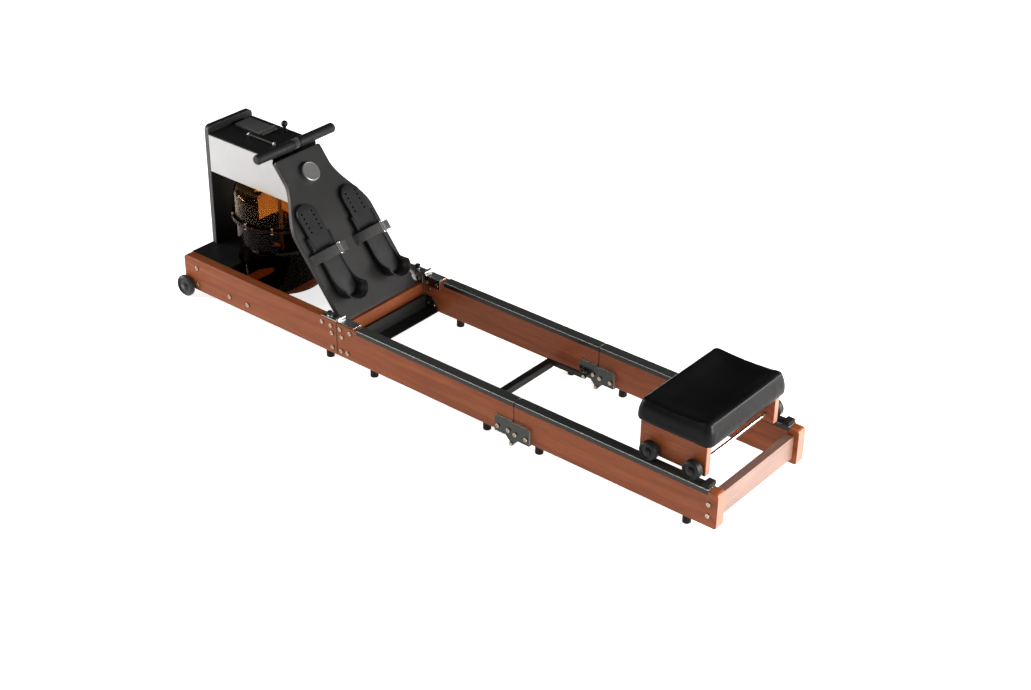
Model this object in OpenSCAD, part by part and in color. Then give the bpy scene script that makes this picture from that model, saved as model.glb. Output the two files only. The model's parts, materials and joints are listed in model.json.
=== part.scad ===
// Folding water rowing machine with a three-section wooden frame.
// Millimetres, +X towards the rear, near rail at -Y, +Z up, floor at z = 0.

/* [Frame] */
// Length of the wooden rails from the front end to the rear end
rail_len = 2000; // [1900:5:2100]
// Width over both rails
frame_w = 420; // [410:1:460]
// Thickness of a rail
rail_t = 34; // [30:1:38]
// Height of a rail
rail_h = 110; // [100:1:125]
// Radius of a rail's long edges
rail_r = 4; // [2:0.5:6]
// Radius of the rail corners at the two ends of the frame
end_r = 10; // [4:1:16]
// Length of the front section
front_len = 657; // [650:1:665]
// Length of the middle section
mid_len = 669; // [655:1:680]
// Gap between two sections at a fold
fold_gap = 3; // [2:0.5:5]

/* [Feet and bolts] */
// Height of the rubber feet
foot_h = 26; // [24:1:30]
// Radius of a rubber foot
foot_r = 12; // [10:1:14]
// Distance of the front section's side feet before its rear end
front_foot_back = 44; // [25:1:77]
// Distance of the nose feet from the front end
nose_foot_at = 50; // [36:1:70]
// Distance of the nose feet from the middle
nose_foot_y = 146; // [120:1:146]
// Distance of the middle section's front feet behind its front end
mid_foot_in = 131; // [120:1:200]
// Distance of the middle section's rear feet before its rear end
mid_foot_back = 107; // [90:1:130]
// Distance of the rear section's front feet behind its front end
rear_foot_in = 77; // [76:1:120]
// Distance of the rear section's rear feet before its rear end
rear_foot_back = 100; // [60:1:120]
// Radius of a foot's stud
stud_r = 4; // [3:0.5:5]
// Length of a foot's stud
stud_len = 16; // [10:1:25]
// Radius of a frame bolt's shank
bolt_r = 3.5; // [3:0.25:4]
// Radius of a frame bolt's head
bolt_head_r = 6.5; // [6:0.5:8]
// Height of a frame bolt's head
bolt_head_h = 3.4; // [2:0.2:5]
// Height of a frame bolt's nut
nut_h = 4; // [3:0.5:6]

/* [Tracks] */
// Distance of the tracks' front end behind the middle section's front end
track_in = 78; // [60:1:100]
// Distance of the tracks' rear end from the rear end of the rails
track_back = 32; // [25:1:40]
// Thickness of a track's top
track_top = 3; // [2:0.5:4]
// Height of a track's side lips
track_lip_h = 12; // [8:1:16]
// Thickness of a track's side lips
track_lip = 2; // [1.5:0.5:3]
// Length of an end stop along the track
stop_len = 18; // [14:1:22]
// Height of an end stop above the track
stop_h = 17; // [12:1:22]

/* [Transport wheels] */
// Radius of a transport wheel
wheel_r = 34; // [30:1:34.5]
// Width of a transport wheel
wheel_w = 21; // [16:1:26]
// Distance of the wheel axle from the front end of the rails
wheel_at = 12; // [8:1:20]
// Height of the wheel axle above the floor
wheel_z = 34.6; // [34.6:0.2:38]
// Radius of the wheel axle
wheel_axle_r = 5; // [4:0.5:6]
// Radius of the axle's collar, head and nut
axle_head_r = 7; // [6.5:0.5:7.5]

/* [Front deck and mast] */
// Length of the front deck
deck_len = 172; // [160:1:185]
// Thickness of the deck's sheet
deck_t = 3; // [2:0.5:4]
// Depth of the deck's surface below the rail tops
deck_drop = 2; // [1:0.5:6]
// Depth of the deck's side flanges
deck_flange = 92; // [90:1:100]
// Gap between the tank and the deck's round notch
deck_gap = 5; // [3:0.5:10]
// Width of the mast
mast_w = 185; // [175:1:200]
// Thickness of the mast
mast_t = 18; // [14:1:22]
// Distance of the mast from the front end
mast_at = 4; // [2:1:8]
// Height of the mast's top above the floor
mast_top = 535; // [530:1:550]
// Radius of the mast's top corners
mast_corner = 16; // [8:1:24]

/* [Drive housing] */
// Height of the housing's floor above the ground
house_low = 386; // [382:1:388]
// Height of the housing's top above the ground
house_top = 507; // [505:1:510]
// Thickness of the housing's sheet
house_t = 3; // [2:0.5:4]
// Thickness of the top cover
cover_t = 4; // [3:0.5:6]
// Distance of the cover's rear edge from the front end
cover_end = 296; // [290:1:298]

/* [Foot panel] */
// Angle of the foot panel to the floor
board_angle = 50.8; // [50:0.1:52]
// Thickness of the foot panel
board_t = 18; // [14:1:20]
// Distance of the panel's top front edge from the front end
board_at = 313; // [312:1:316]
// Height of the panel's top front edge above the floor
board_top = 506; // [504:1:508]
// Length of the panel down the slope
board_len = 517; // [510:1:519]
// Width of the panel at its top
board_top_w = 185; // [175:1:190]
// Width of the panel at its foot
board_low_w = 322; // [315:1:328]
// Distance down the slope where the panel starts to widen
flare_from = 78; // [70:1:90]
// Distance down the slope where the panel has its full width
flare_to = 215; // [200:1:230]
// Corner radius of the panel's top
board_corner = 6; // [3:1:10]
// Radius of the round cover disc
disc_r = 31; // [26:1:34]
// Height of the cover disc over the panel
disc_h = 15; // [8:1:20]
// Distance of the disc's centre down the slope
disc_at = 70; // [60:1:80]

/* [Foot rests] */
// Distance of a foot rest's centre line from the middle
rest_y = 93; // [88:1:100]
// Half width of a sliding foot rest
rest_r = 38; // [34:1:40]
// Distance of the foot rest's top end down the slope
rest_top = 150; // [140:1:160]
// Distance of the heel's end down the slope
rest_end = 462; // [455:1:466]
// Height of the fixed pads below the foot rests
pad_h = 8; // [6:0.5:10]
// Thickness of a foot rest's plate
rest_t = 7; // [5:0.5:9]
// Height of the heel cup's wall over the plate
heel_h = 46; // [35:1:55]
// Thickness of the heel cup's wall
heel_t = 5; // [4:0.5:6]
// Number of adjusting holes in a row
hole_count = 5; // [3:1:6]
// Spacing of the adjusting holes
hole_pitch = 15; // [13:0.5:16]
// Radius of an adjusting hole
hole_r = 3.4; // [2.5:0.1:4]
// Distance between the two rows of holes
hole_rows = 40; // [30:1:46]
// Distance of the first hole down the slope
hole_at = 176; // [172:1:180]
// Distance of the strap's centre line down the slope
strap_at = 314; // [305:1:325]
// Width of a foot strap
strap_w = 30; // [25:1:38]
// Thickness of a foot strap
strap_t = 2.5; // [2:0.5:4]
// Half span of a foot strap
strap_span = 64; // [58:1:66]
// Height of the strap's arch over the panel
strap_h = 44; // [38:1:60]

/* [Water tank] */
// Distance of the tank's axis from the front end
tank_at = 222; // [218:1:226]
// Height of the tank's underside above the floor
tank_low = 50; // [48:1:54]
// Radius of the tank's lower wall
tank_low_r = 131; // [126:1:133]
// Radius of the tank's collar below its flange
tank_high_r = 139; // [136:1:140]
// Height of the collar's lower end above the floor
collar_z = 205; // [195:1:215]
// Radius of the tank's flange
flange_r = 150; // [149:1:152]
// Height of the flange joint above the floor
flange_z = 282; // [276:1:286]
// Thickness of one flange
flange_t = 6; // [4:0.5:8]
// Thickness of the tank's wall
tank_wall = 4; // [3:0.5:5]
// Thickness of the seal between the flanges
seal_t = 2; // [1:0.5:3]
// Radius of the lid's side wall
lid_r = 140; // [137:1:140]
// Height of the lid's flat top above the floor
lid_top = 377; // [372:1:379]
// Radius of the lid's shoulder
lid_round = 26; // [20:1:32]
// Number of flange bolts
flange_bolts = 10; // [8:1:16]
// Radius of the fill hole
fill_r = 11; // [8:1:12]
// Distance of the fill hole from the middle
fill_y = 114; // [112:1:116]
// Radius of the fill cap
cap_r = 15; // [13:1:17]
// Height of the fill cap
cap_h = 12; // [8:1:16]

/* [Drive] */
// Radius of the paddle shaft
shaft_r = 6; // [5:0.5:7]
// Radius of the paddle wheel
paddle_r = 96; // [80:1:100]
// Height of the paddle wheel's blades
paddle_h = 60; // [40:1:80]
// Number of blades
blades = 6; // [4:1:8]
// Height of the blades' lower edge above the floor
paddle_z = 84; // [75:1:100]
// Radius of the drive spool's drum
spool_r = 30; // [25:1:34]
// Height of the drive spool's middle above the floor
spool_z = 455; // [450:1:460]
// Width of the pull strap
pull_w = 20; // [15:1:24]
// Thickness of the pull strap
pull_t = 1.5; // [1:0.25:2]
// Radius of the strap's guide roller
guide_r = 7; // [6:0.5:8]
// Outer radius of a shaft bearing
bearing_r = 16; // [14:0.5:18]
// Width of a shaft bearing
bearing_w = 11; // [8:1:14]
// Distance of the strap's guide roller from the front end
guide_at = 274; // [272:1:276]
// Height of the guide roller's axle above the housing's cover
guide_up = 8; // [8:0.5:9]
// Distance of the strap's lower guide rod from the front end
rod_at = 300; // [290:1:304]
// Radius of the strap's lower guide rod
rod_r = 6; // [5:0.5:7]

/* [Handle] */
// Radius of the handle's grip
grip_r = 15.5; // [13:0.5:17]
// Radius of the handle's steel bar
bar_r = 11; // [9:0.5:12]
// Length of the handle's grip
grip_len = 316; // [300:1:340]
// Distance of the handle from the front end
handle_at = 303; // [301:1:306]
// Height of the handle's axis above the top cover
handle_up = 20; // [18:0.5:29]

/* [Phone rest] */
// Distance of the phone rest's hinge from the front end
rest_hinge_at = 158; // [150:1:165]
// Length of the phone rest's plate
phone_len = 118; // [90:1:125]
// Width of the phone rest's plate
phone_w = 62; // [50:1:80]
// Distance of the plate's centre line from the middle
phone_y = 34; // [30:1:45]
// Thickness of the plate
phone_t = 8; // [6:1:10]
// Radius of the clamp knob's ball
ball_r = 10.5; // [9:0.5:12]
// Distance of the clamp knob from the front end
ball_at = 190; // [185:1:200]
// Distance of the clamp knob from the middle
ball_y = 68; // [60:1:75]
// Height of the ball's centre above the cover
ball_z = 29; // [25:1:34]

// Distance of the stop rod's front end from the front end
stop_rod_at = 126; // [110:1:140]
// Length of the stop rod beside the phone rest
stop_rod_len = 108; // [90:1:120]
// Distance of the stop rod from the middle
stop_rod_y = 20; // [15:1:30]
// Radius of the stop rod
stop_rod_r = 5; // [4:0.5:6]

/* [Top hinges at the first fold] */
// Thickness of the hinge leaves
leaf_t = 3; // [2:0.5:4]
// Length of a hinge leaf
leaf_len = 64; // [62:1:72]
// Height of the pivot above the rail tops
pivot1_up = 7; // [6.5:0.5:9]
// Radius of a hinge knuckle
knuckle_r = 6; // [5:0.5:6.5]
// Radius of the hinge pin
pin_r = 3; // [2.5:0.25:4]
// Distance of the locking pin before the front rails' end
lock_back = 40; // [38:1:45]
// Radius of the locking pin
lock_r = 4; // [3:0.5:4.5]
// Radius of the locking pin's knob
lock_knob_r = 7.5; // [6:0.5:9]

/* [Pivot plates at the second fold] */
// Thickness of a pivot plate
plate_t = 5; // [4:0.5:6]
// Length of a pivot plate
plate_len = 64; // [60:1:68]
// Height of a pivot plate above the rail's bottom edge
plate_h = 54; // [48:1:58]
// Depth of the pivot below the rail's bottom edge
pivot2_down = 17; // [16:0.5:18]
// Radius of the eye around the pivot
eye_r = 7.5; // [7:0.25:8]
// Radius of the pivot pin
pivot_pin_r = 4; // [3.5:0.25:4.5]

/* [Release bar] */
// Distance of the release bar's crosspiece before the middle section's rear end
release_back = 155; // [140:1:200]
// Side of the crosspiece's square tube
release_side = 23; // [20:1:28]
// Distance of the release bar's pivot before the middle section's rear end
release_pivot_back = 33; // [29:1:39]
// Height of the release bar's middle above the rail's bottom edge
release_up = 12; // [12:1:20]
// Thickness of the release bar's arms
arm_t = 5; // [4:0.5:6]

/* [Cross-members] */
// Thickness of the wooden crossbar below the foot panel
crossbar_t = 27; // [22:1:32]
// Height of the wooden crossbar
crossbar_h = 76; // [72:1:78]
// Thickness of the steel cross tray
tray_t = 4; // [3:0.5:5]
// Height of the cross tray's upright leg
tray_h = 46; // [40:1:55]
// Length of the cross tray's flat leg
tray_len = 50; // [40:1:55]
// Thickness of the rear crossbar
rear_bar_t = 26; // [22:1:30]
// Height of the rear crossbar
rear_bar_h = 72; // [60:1:80]

/* [Seat] */
// Distance of the front seat axle before the rails' rear end at rest
axle_back = 230; // [225:1:260]
// Distance between the two seat axles
axle_base = 135; // [120:1:150]
// Radius of a seat roller
roller_r = 27; // [24:1:30]
// Width of a seat roller
roller_w = 24; // [20:1:26]
// Radius of a seat axle
axle_r = 5; // [4:0.5:6]
// Length of the seat cushion
seat_len = 239; // [230:1:246]
// Width of the seat cushion
seat_w = 372; // [364:1:378]
// Thickness of the seat cushion at its edges
seat_t = 61; // [56:1:66]
// Distance of the cushion's front edge before the front axle
seat_lead = 60; // [54:1:66]
// Depth of the seat cushion's hollow
seat_dip = 10; // [5:1:14]
// Inset of the cushion's top edge from its widest line
seat_tuck = 14; // [10:1:17]
// Length of the wooden side plates
side_len = 208; // [200:1:215]
// Thickness of a wooden side plate
side_t = 20; // [16:1:22]
// Gap between a side plate's underside and the tracks
side_gap = 4; // [3:1:10]
// Distance of a side plate's front edge before the front axle
side_lead = 46; // [40:1:50]
// Distance of a side plate's outer face from the middle
side_y = 172; // [165:1:173]
// Height of the cushion's underside above the tracks
seat_up = 96; // [92:1:100]
// Thickness of the seat's base board
pan_t = 12; // [9:1:15]

/* [Fits] */
// Radial clearance of a running fit
run_fit = 0.05; // [0.02:0.01:0.1]
// Radial clearance of a bolt in its hole
bolt_fit = 0.2; // [0.1:0.05:0.4]
// Gap between pieces that move past each other
move_gap = 0.4; // [0.3:0.1:0.8]

/* [Hidden] */
$fn = 48;

mid_at = front_len + fold_gap;
mid_end = mid_at + mid_len;
rear_at = mid_end + fold_gap;
front_foot_at = front_len - front_foot_back;
mid_feet_at = [mid_at + mid_foot_in, mid_end - mid_foot_back];
rear_feet_at = [rear_at + rear_foot_in, rail_len - rear_foot_back];
track_at = mid_at + track_in;
release_at = mid_end - release_back;
release_pivot_at = mid_end - release_pivot_back;
axle_at = rail_len - axle_back;

// Distance from the front end, height over the rail's bottom edge and thickness of the piece inside the rail
front_bolts_at = [
    [57, 24, 3],
    [57, 80, 3],
    [tank_at - 22, 31, 4],
    [tank_at + 58, 31, 4],
    [front_len - leaf_len + 7, 94, 3],
    [front_len - 21, 94, 3],
    [front_len - 18, 70, 20],
    [front_len - 17, 22, 20]
];
mid_bolts_at = [
    [mid_at + 13, 94, 3],
    [mid_at + 53, 94, 3],
    [mid_at + 20, 70, 0],
    [mid_at + 16, 22, 4],
    [mid_at + 41, 22, 4]
];
rear_bolts_at = [[rail_len - 27, 71, 20], [rail_len - 27, 36, 20]];
// Offsets of a pivot plate's two bolts from the fold, and their height over the rail's bottom edge
plate_bolts = [14, 52];
plate_bolt_h = 19;
// Inset, height fraction and share of the hollow of each ring of the cushion, from its underside to its middle
cushion_rings = [
    [26, 0, 0], [12, 0, 0], [4, 0.03, 0], [1, 0.1, 0], [0, 0.2, 0], [0.8, 0.33, 0], [2.4, 0.46, 0], [4.6, 0.6, 0.02],
    [7.6, 0.74, 0.12], [10.8, 0.86, 0.35], [14, 0.94, 0.6], [20, 0.985, 0.75], [30, 1, 0.85], [50, 1.02, 0.94], [74, 1.03, 1], [98, 1.03, 1]
];
cushion_sides = 72;

x0 = -(rail_len + wheel_at - wheel_r) / 2;
rail_top = foot_h + rail_h;
rail_y = (frame_w - rail_t) / 2;
outer_y = frame_w / 2;
inner_y = outer_y - rail_t;
fold1 = front_len + fold_gap / 2;
fold2 = mid_end + fold_gap / 2;
pivot1_z = rail_top + pivot1_up;
pivot2_z = foot_h - pivot2_down;
track_z = rail_top + track_top;
roller_z = track_z + roller_r + run_fit;
deck_z = rail_top - deck_drop;
mast_end = mast_at + mast_t;
cover_z = house_top + cover_t;
handle_z = cover_z + handle_up;
house_half = board_top_w / 2;
seat_z = track_z + seat_up;
seat_mid = axle_at - seat_lead + seat_len / 2;
eps = 0.5;

// Distance from the front end of the foot panel's back at a given height
function back_at(z) = board_at + (board_top - z) / tan(board_angle) - board_t / sin(board_angle);

module block(d0, d1, y0, y1, z0, z1) {
    translate([x0 + d0, y0, z0])
        cube([d1 - d0, y1 - y0, z1 - z0]);
}

module round_rect(w, h, r) {
    translate([r, 0])
        square([w - 2 * r, h]);
    translate([0, r])
        square([w, h - 2 * r]);
    for (x = [r, w - r], y = [r, h - r])
        translate([x, y])
            circle(r = r);
}

// A section drawn in Y and Z, drawn out towards the rear
module along_x(from, to, y, z) {
    translate([x0 + from, y, z])
        rotate([90, 0, 90])
            linear_extrude(to - from)
                children();
}

// A side view drawn in X and Z, drawn out across the frame
module across(d, y0, y1, z) {
    translate([x0 + d, y1, z])
        rotate([90, 0, 0])
            linear_extrude(y1 - y0)
                children();
}

// A round bar across the frame
module bar_y(d, z, r, y0, y1) {
    translate([x0 + d, y0, z])
        rotate([-90, 0, 0])
            cylinder(r = r, h = y1 - y0);
}

// A ring across the frame
module ring_y(d, z, r_out, r_in, y0, y1) {
    difference() {
        bar_y(d, z, r_out, y0, y1);
        bar_y(d, z, r_in, y0 - eps, y1 + eps);
    }
}

module both_sides() {
    children();
    mirror([0, 1, 0])
        children();
}

// The foot panel's own frame: X down the slope, Z out of its face
module on_board() {
    translate([x0 + board_at, 0, board_top])
        rotate([0, board_angle, 0])
            children();
}

module at_tank() {
    translate([x0 + tank_at, 0, 0])
        children();
}

module rail_ends(len, round_from, round_to) {
    round_rect(len, rail_h, end_r);
    if (!round_from)
        square([len / 2, rail_h]);
    if (!round_to)
        translate([len / 2, 0])
            square([len / 2, rail_h]);
}

// A plain rail on the +Y side
module rail(from, to, round_from, round_to) {
    intersection() {
        along_x(from, to, inner_y, foot_h)
            round_rect(rail_t, rail_h, rail_r);
        across(from, inner_y, outer_y, foot_h)
            rail_ends(to - from, round_from, round_to);
    }
}

module track_rebate(from, to) {
    for (y = [inner_y - 1, outer_y - track_lip])
        along_x(from, to, y, rail_top - track_lip_h)
            square([track_lip + 1, track_lip_h + 1]);
}

module track(from, to) {
    along_x(from, to, inner_y, rail_top - track_lip_h)
        difference() {
            union() {
                square([rail_t, track_lip_h + track_top - track_lip]);
                translate([track_lip, 0])
                    square([rail_t - 2 * track_lip, track_lip_h + track_top]);
                for (y = [track_lip, rail_t - track_lip])
                    translate([y, track_lip_h + track_top - track_lip])
                        circle(r = track_lip);
            }
            translate([track_lip, -1])
                square([rail_t - 2 * track_lip, track_lip_h + 1]);
        }
}

module bolt_holes(list) {
    for (b = list)
        bar_y(b[0], foot_h + b[1], bolt_r + bolt_fit, inner_y - 2 * rail_t, outer_y + 1);
}

module bolt(d, z, y_in, y_out) {
    bar_y(d, z, bolt_r, y_in, y_out);
    difference() {
        bar_y(d, z, bolt_head_r, y_out, y_out + bolt_head_h);
        bar_y(d, z, bolt_r * 0.75, y_out + bolt_head_h / 2, y_out + bolt_head_h + 1);
    }
}

// Bolts through a rail on the +Y side: a thin inner piece is held by a nut, a thick one takes the thread
module bolts(list) {
    for (b = list) {
        bolt(b[0], foot_h + b[1], inner_y - b[2] - (b[2] < 10 ? nut_h : 0), outer_y);
        if (b[2] < 10)
            bar_y(b[0], foot_h + b[1], bolt_head_r, inner_y - b[2] - nut_h, inner_y - b[2]);
    }
}

module foot(d, y) {
    translate([x0 + d, y, 0]) {
        difference() {
            cylinder(r = foot_r, h = foot_h);
            translate([0, 0, -1])
                cylinder(r = stud_r, h = 1 + foot_h / 5);
        }
        translate([0, 0, foot_h - 1])
            cylinder(r = stud_r, h = stud_len + 1);
    }
}

module stud_hole(d, y) {
    translate([x0 + d, y, foot_h - 1])
        cylinder(r = stud_r + bolt_fit, h = stud_len + 2);
}

module front_rail() {
    color([0.5, 0.3, 0.2])
        difference() {
            rail(0, front_len, true, false);
            bolt_holes(front_bolts_at);
            stud_hole(front_foot_at, rail_y);
            bar_y(wheel_at, wheel_z, wheel_axle_r + bolt_fit, inner_y - 1, outer_y + 1);
            lock_bore(lock_r + bolt_fit, foot_h + rail_h / 2, rail_top + 1);
        }
}

module front_rail_left() {
    mirror([0, 1, 0])
        front_rail();
}

module front_rail_right() {
    front_rail();
}

lock_at = front_len - lock_back;

module lock_bore(r, z0, z1) {
    translate([x0 + lock_at, rail_y, z0])
        cylinder(r = r, h = z1 - z0);
}

module front_deck() {
    color([0.12, 0.12, 0.13])
        difference() {
            union() {
                block(0, deck_len, -inner_y, inner_y, deck_z - deck_t, deck_z);
                block(0, deck_t, -inner_y, inner_y, foot_h, deck_z);
                block(0, 2 * nose_foot_at, deck_edge - inner_y, inner_y - deck_edge, foot_h, foot_h + deck_t);
                both_sides()
                    block(0, deck_len, inner_y - deck_t, inner_y, deck_z - deck_flange, deck_z);
            }
            at_tank()
                translate([0, 0, deck_z - 2 * deck_t])
                    cylinder(r = tank_low_r + deck_gap, h = 3 * deck_t);
            both_sides() {
                bolt_holes(front_bolts_at);
                stud_hole(nose_foot_at, nose_foot_y);
            }
        }
}

deck_edge = 18;

module mast_panel() {
    color([0.13, 0.13, 0.14])
        along_x(mast_at, mast_end, -mast_w / 2, deck_z) {
            square([mast_w, mast_top - deck_z - mast_corner]);
            translate([0, mast_top - deck_z - 3 * mast_corner])
                round_rect(mast_w, 3 * mast_corner, mast_corner);
        }
}

module drive_housing() {
    color([0.85, 0.86, 0.87])
        difference() {
            union() {
                both_sides()
                    across(0, house_half - house_t, house_half, 0)
                        polygon([
                            [mast_end, house_low],
                            [back_at(house_low), house_low],
                            [back_at(board_top - board_t * cos(board_angle)), board_top - board_t * cos(board_angle)],
                            [board_at - board_t * sin(board_angle), house_top],
                            [mast_end, house_top]
                        ]);
                block(mast_end, back_at(house_low + house_t), -house_half, house_half, house_low, house_low + house_t);
                bar_y(rod_at, rod_z, rod_r, -house_half + eps, house_half - eps);
            }
            at_tank()
                translate([0, 0, house_low - 1])
                    cylinder(r = shaft_r + 4, h = house_t + 2);
        }
}

rod_z = spool_z + rod_r + run_fit + pull_t / 2;
guide_z = cover_z + guide_up;
slot_from = guide_at - guide_r - 5;
slot_to = guide_at + guide_r + 3;
roller_half = pull_w / 2 + 1;
ear_t = 4;
phone_z = cover_z + move_gap + phone_t / 2;

module top_cover() {
    color([0.1, 0.1, 0.11])
        difference() {
            union() {
                block(mast_end, cover_end, -house_half, house_half, house_top, cover_z);
                both_sides() {
                    block(guide_at - guide_r, guide_at + guide_r, roller_half + move_gap, roller_half + move_gap + ear_t, house_top, guide_z);
                    bar_y(guide_at, guide_z, guide_r, roller_half + move_gap, roller_half + move_gap + ear_t);
                    block(cover_end - 10, cover_end, 60, 72, cover_z, handle_z - grip_r + 4);
                }
                bar_y(guide_at, guide_z, pin_r, -roller_half - 1, roller_half + 1);
                translate([x0 + stop_rod_at, -stop_rod_y, cover_z + stop_rod_r])
                    rotate([0, 90, 0])
                        cylinder(r = stop_rod_r, h = stop_rod_len);
                for (y = [phone_y - phone_w / 2 - move_gap - ear_t, phone_y + phone_w / 2 + move_gap]) {
                    bar_y(rest_hinge_at, phone_z, phone_t / 2, y, y + ear_t);
                    block(rest_hinge_at - phone_t / 2, rest_hinge_at + phone_t / 2, y, y + ear_t, house_top, phone_z);
                }
                bar_y(rest_hinge_at, phone_z, pin_r - 1, phone_y - phone_w / 2 - ear_t, phone_y + phone_w / 2 + ear_t);
                translate([x0 + ball_at, ball_y, cover_z])
                    cylinder(r = knob_stem_r + 3, h = 6);
            }
            block(slot_from, slot_to, -roller_half - move_gap, roller_half + move_gap, house_top - 1, cover_z + 1);
            translate([x0 + ball_at, ball_y, cover_z])
                cylinder(r = knob_stem_r + run_fit, h = 7);
            bar_y(handle_at, handle_z, grip_r + move_gap, -house_half, house_half);
        }
}

knob_stem_r = 5;

module foot_panel() {
    color([0.3, 0.3, 0.3])
        on_board() {
            translate([0, 0, -board_t])
                linear_extrude(board_t) {
                    polygon([
                        [board_corner, -board_top_w / 2],
                        [flare_from, -board_top_w / 2],
                        [flare_to, -board_low_w / 2],
                        [board_len, -board_low_w / 2],
                        [board_len, board_low_w / 2],
                        [flare_to, board_low_w / 2],
                        [flare_from, board_top_w / 2],
                        [board_corner, board_top_w / 2]
                    ]);
                    translate([0, -board_top_w / 2])
                        round_rect(3 * board_corner, board_top_w, board_corner);
                }
            for (y = [-rest_y, rest_y]) {
                translate([rest_top + 20, y - rest_r + 8, -eps])
                    cube([rest_end - rest_top - 90, 2 * rest_r - 16, pad_h + eps]);
                for (s = [-1, 1])
                    translate([strap_at - 66, y + s * (rest_r + move_gap + 4) - 4, -eps])
                        cube([50, 8, pad_h + rest_t + 1 + eps]);
            }
        }
}

module cover_disc() {
    color([0.6, 0.6, 0.6])
        on_board()
            translate([disc_at, 0, 0]) {
                cylinder(r = disc_r, h = disc_h - 3);
                cylinder(r = disc_r - 3, h = disc_h);
            }
}

crossbar_at = front_len - 5 - crossbar_t;

module foot_crossbar() {
    color([0.5, 0.3, 0.2])
        difference() {
            block(crossbar_at, crossbar_at + crossbar_t, -inner_y, inner_y, foot_h + 5, foot_h + 5 + crossbar_h);
            on_board()
                translate([-board_len, -board_low_w / 2 - 1, -board_t * 3])
                    cube([2 * board_len, board_low_w + 2, board_t * 3]);
            both_sides()
                bolt_holes(front_bolts_at);
        }
}

module tank_bowl() {
    low = flange_z - seal_t / 2 - flange_t;
    color([0.35, 0.16, 0.05])
        at_tank()
            difference() {
                rotate_extrude()
                    polygon([
                        [0, tank_low],
                        [tank_low_r - 12, tank_low],
                        [tank_low_r - 4, tank_low + 4],
                        [tank_low_r - 1, tank_low + 14],
                        [tank_low_r, collar_z - 15],
                        [tank_high_r, collar_z],
                        [tank_high_r, low],
                        [flange_r, low],
                        [flange_r, low + flange_t],
                        [tank_high_r - tank_wall, low + flange_t],
                        [tank_high_r - tank_wall, collar_z + 2],
                        [tank_low_r - tank_wall, collar_z - 13],
                        [tank_low_r - tank_wall - 1, tank_low + 15],
                        [tank_low_r - tank_wall - 3, tank_low + tank_wall + 3],
                        [tank_low_r - tank_wall - 9, tank_low + tank_wall],
                        [0, tank_low + tank_wall]
                    ]);
                flange_holes();
            }
}

module flange_holes() {
    for (a = [0 : 360 / flange_bolts : 359])
        rotate(a + 180 / flange_bolts)
            translate([(flange_r + tank_high_r) / 2 + 0.4, 0, flange_z - 20])
                cylinder(r = flange_bolt_r + bolt_fit, h = 40);
}

flange_bolt_r = 2.5;
fill_z = lid_top + 1;

module tank_lid() {
    low = flange_z + seal_t / 2;
    color([0.4, 0.2, 0.06])
        at_tank()
            difference() {
                union() {
                    rotate_extrude()
                        difference() {
                            union() {
                                translate([0, low])
                                    square([flange_r, flange_t]);
                                translate([0, low])
                                    square([lid_r, lid_top - lid_round - low]);
                                square_to(lid_r - lid_round, lid_top);
                                translate([lid_r - lid_round, lid_top - lid_round])
                                    circle(r = lid_round);
                            }
                            translate([-1, low - 1])
                                square([lid_r - tank_wall + 1, lid_top - lid_round - low + 1]);
                            translate([-1, low - 1])
                                square([lid_r - lid_round + 1, lid_top - tank_wall - low + 1]);
                            translate([lid_r - lid_round, lid_top - lid_round])
                                circle(r = lid_round - tank_wall);
                            translate([-2 * lid_r, low - 1])
                                square([2 * lid_r, lid_top]);
                        }
                    translate([0, fill_y, lid_top - lid_round / 2])
                        cylinder(r = cap_r - 1, h = fill_z - lid_top + lid_round / 2);
                }
                translate([0, fill_y, lid_top - 2 * lid_round])
                    cylinder(r = fill_r, h = 3 * lid_round);
                translate([0, 0, lid_top - 2 * tank_wall])
                    cylinder(r = shaft_r + 2, h = 3 * tank_wall);
                flange_holes();
            }
}

module square_to(x, z) {
    translate([0, z - lid_round])
        square([x, lid_round]);
}

module tank_seal() {
    color([0.05, 0.05, 0.05])
        at_tank()
            difference() {
                translate([0, 0, flange_z - seal_t / 2])
                    cylinder(r = flange_r - 0.5, h = seal_t);
                translate([0, 0, flange_z - seal_t])
                    cylinder(r = tank_high_r - tank_wall, h = 2 * seal_t);
                flange_holes();
            }
}

cradle_t = 4;

module tank_cradle() {
    d0 = front_bolts_at[2][0] - 22;
    d1 = front_bolts_at[3][0] + 22;
    color([0.12, 0.12, 0.13])
        difference() {
            union() {
                block(d0, d1, -inner_y, inner_y, tank_low - cradle_t, tank_low);
                both_sides()
                    block(d0, d1, inner_y - cradle_t, inner_y, tank_low - cradle_t, foot_h + front_bolts_at[2][1] + 14);
            }
            both_sides()
                bolt_holes(front_bolts_at);
        }
}

module front_feet() {
    color([0.06, 0.06, 0.06])
        both_sides() {
            foot(front_foot_at, rail_y);
            foot(nose_foot_at, nose_foot_y);
        }
}

knuckle_half = 13;

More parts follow.
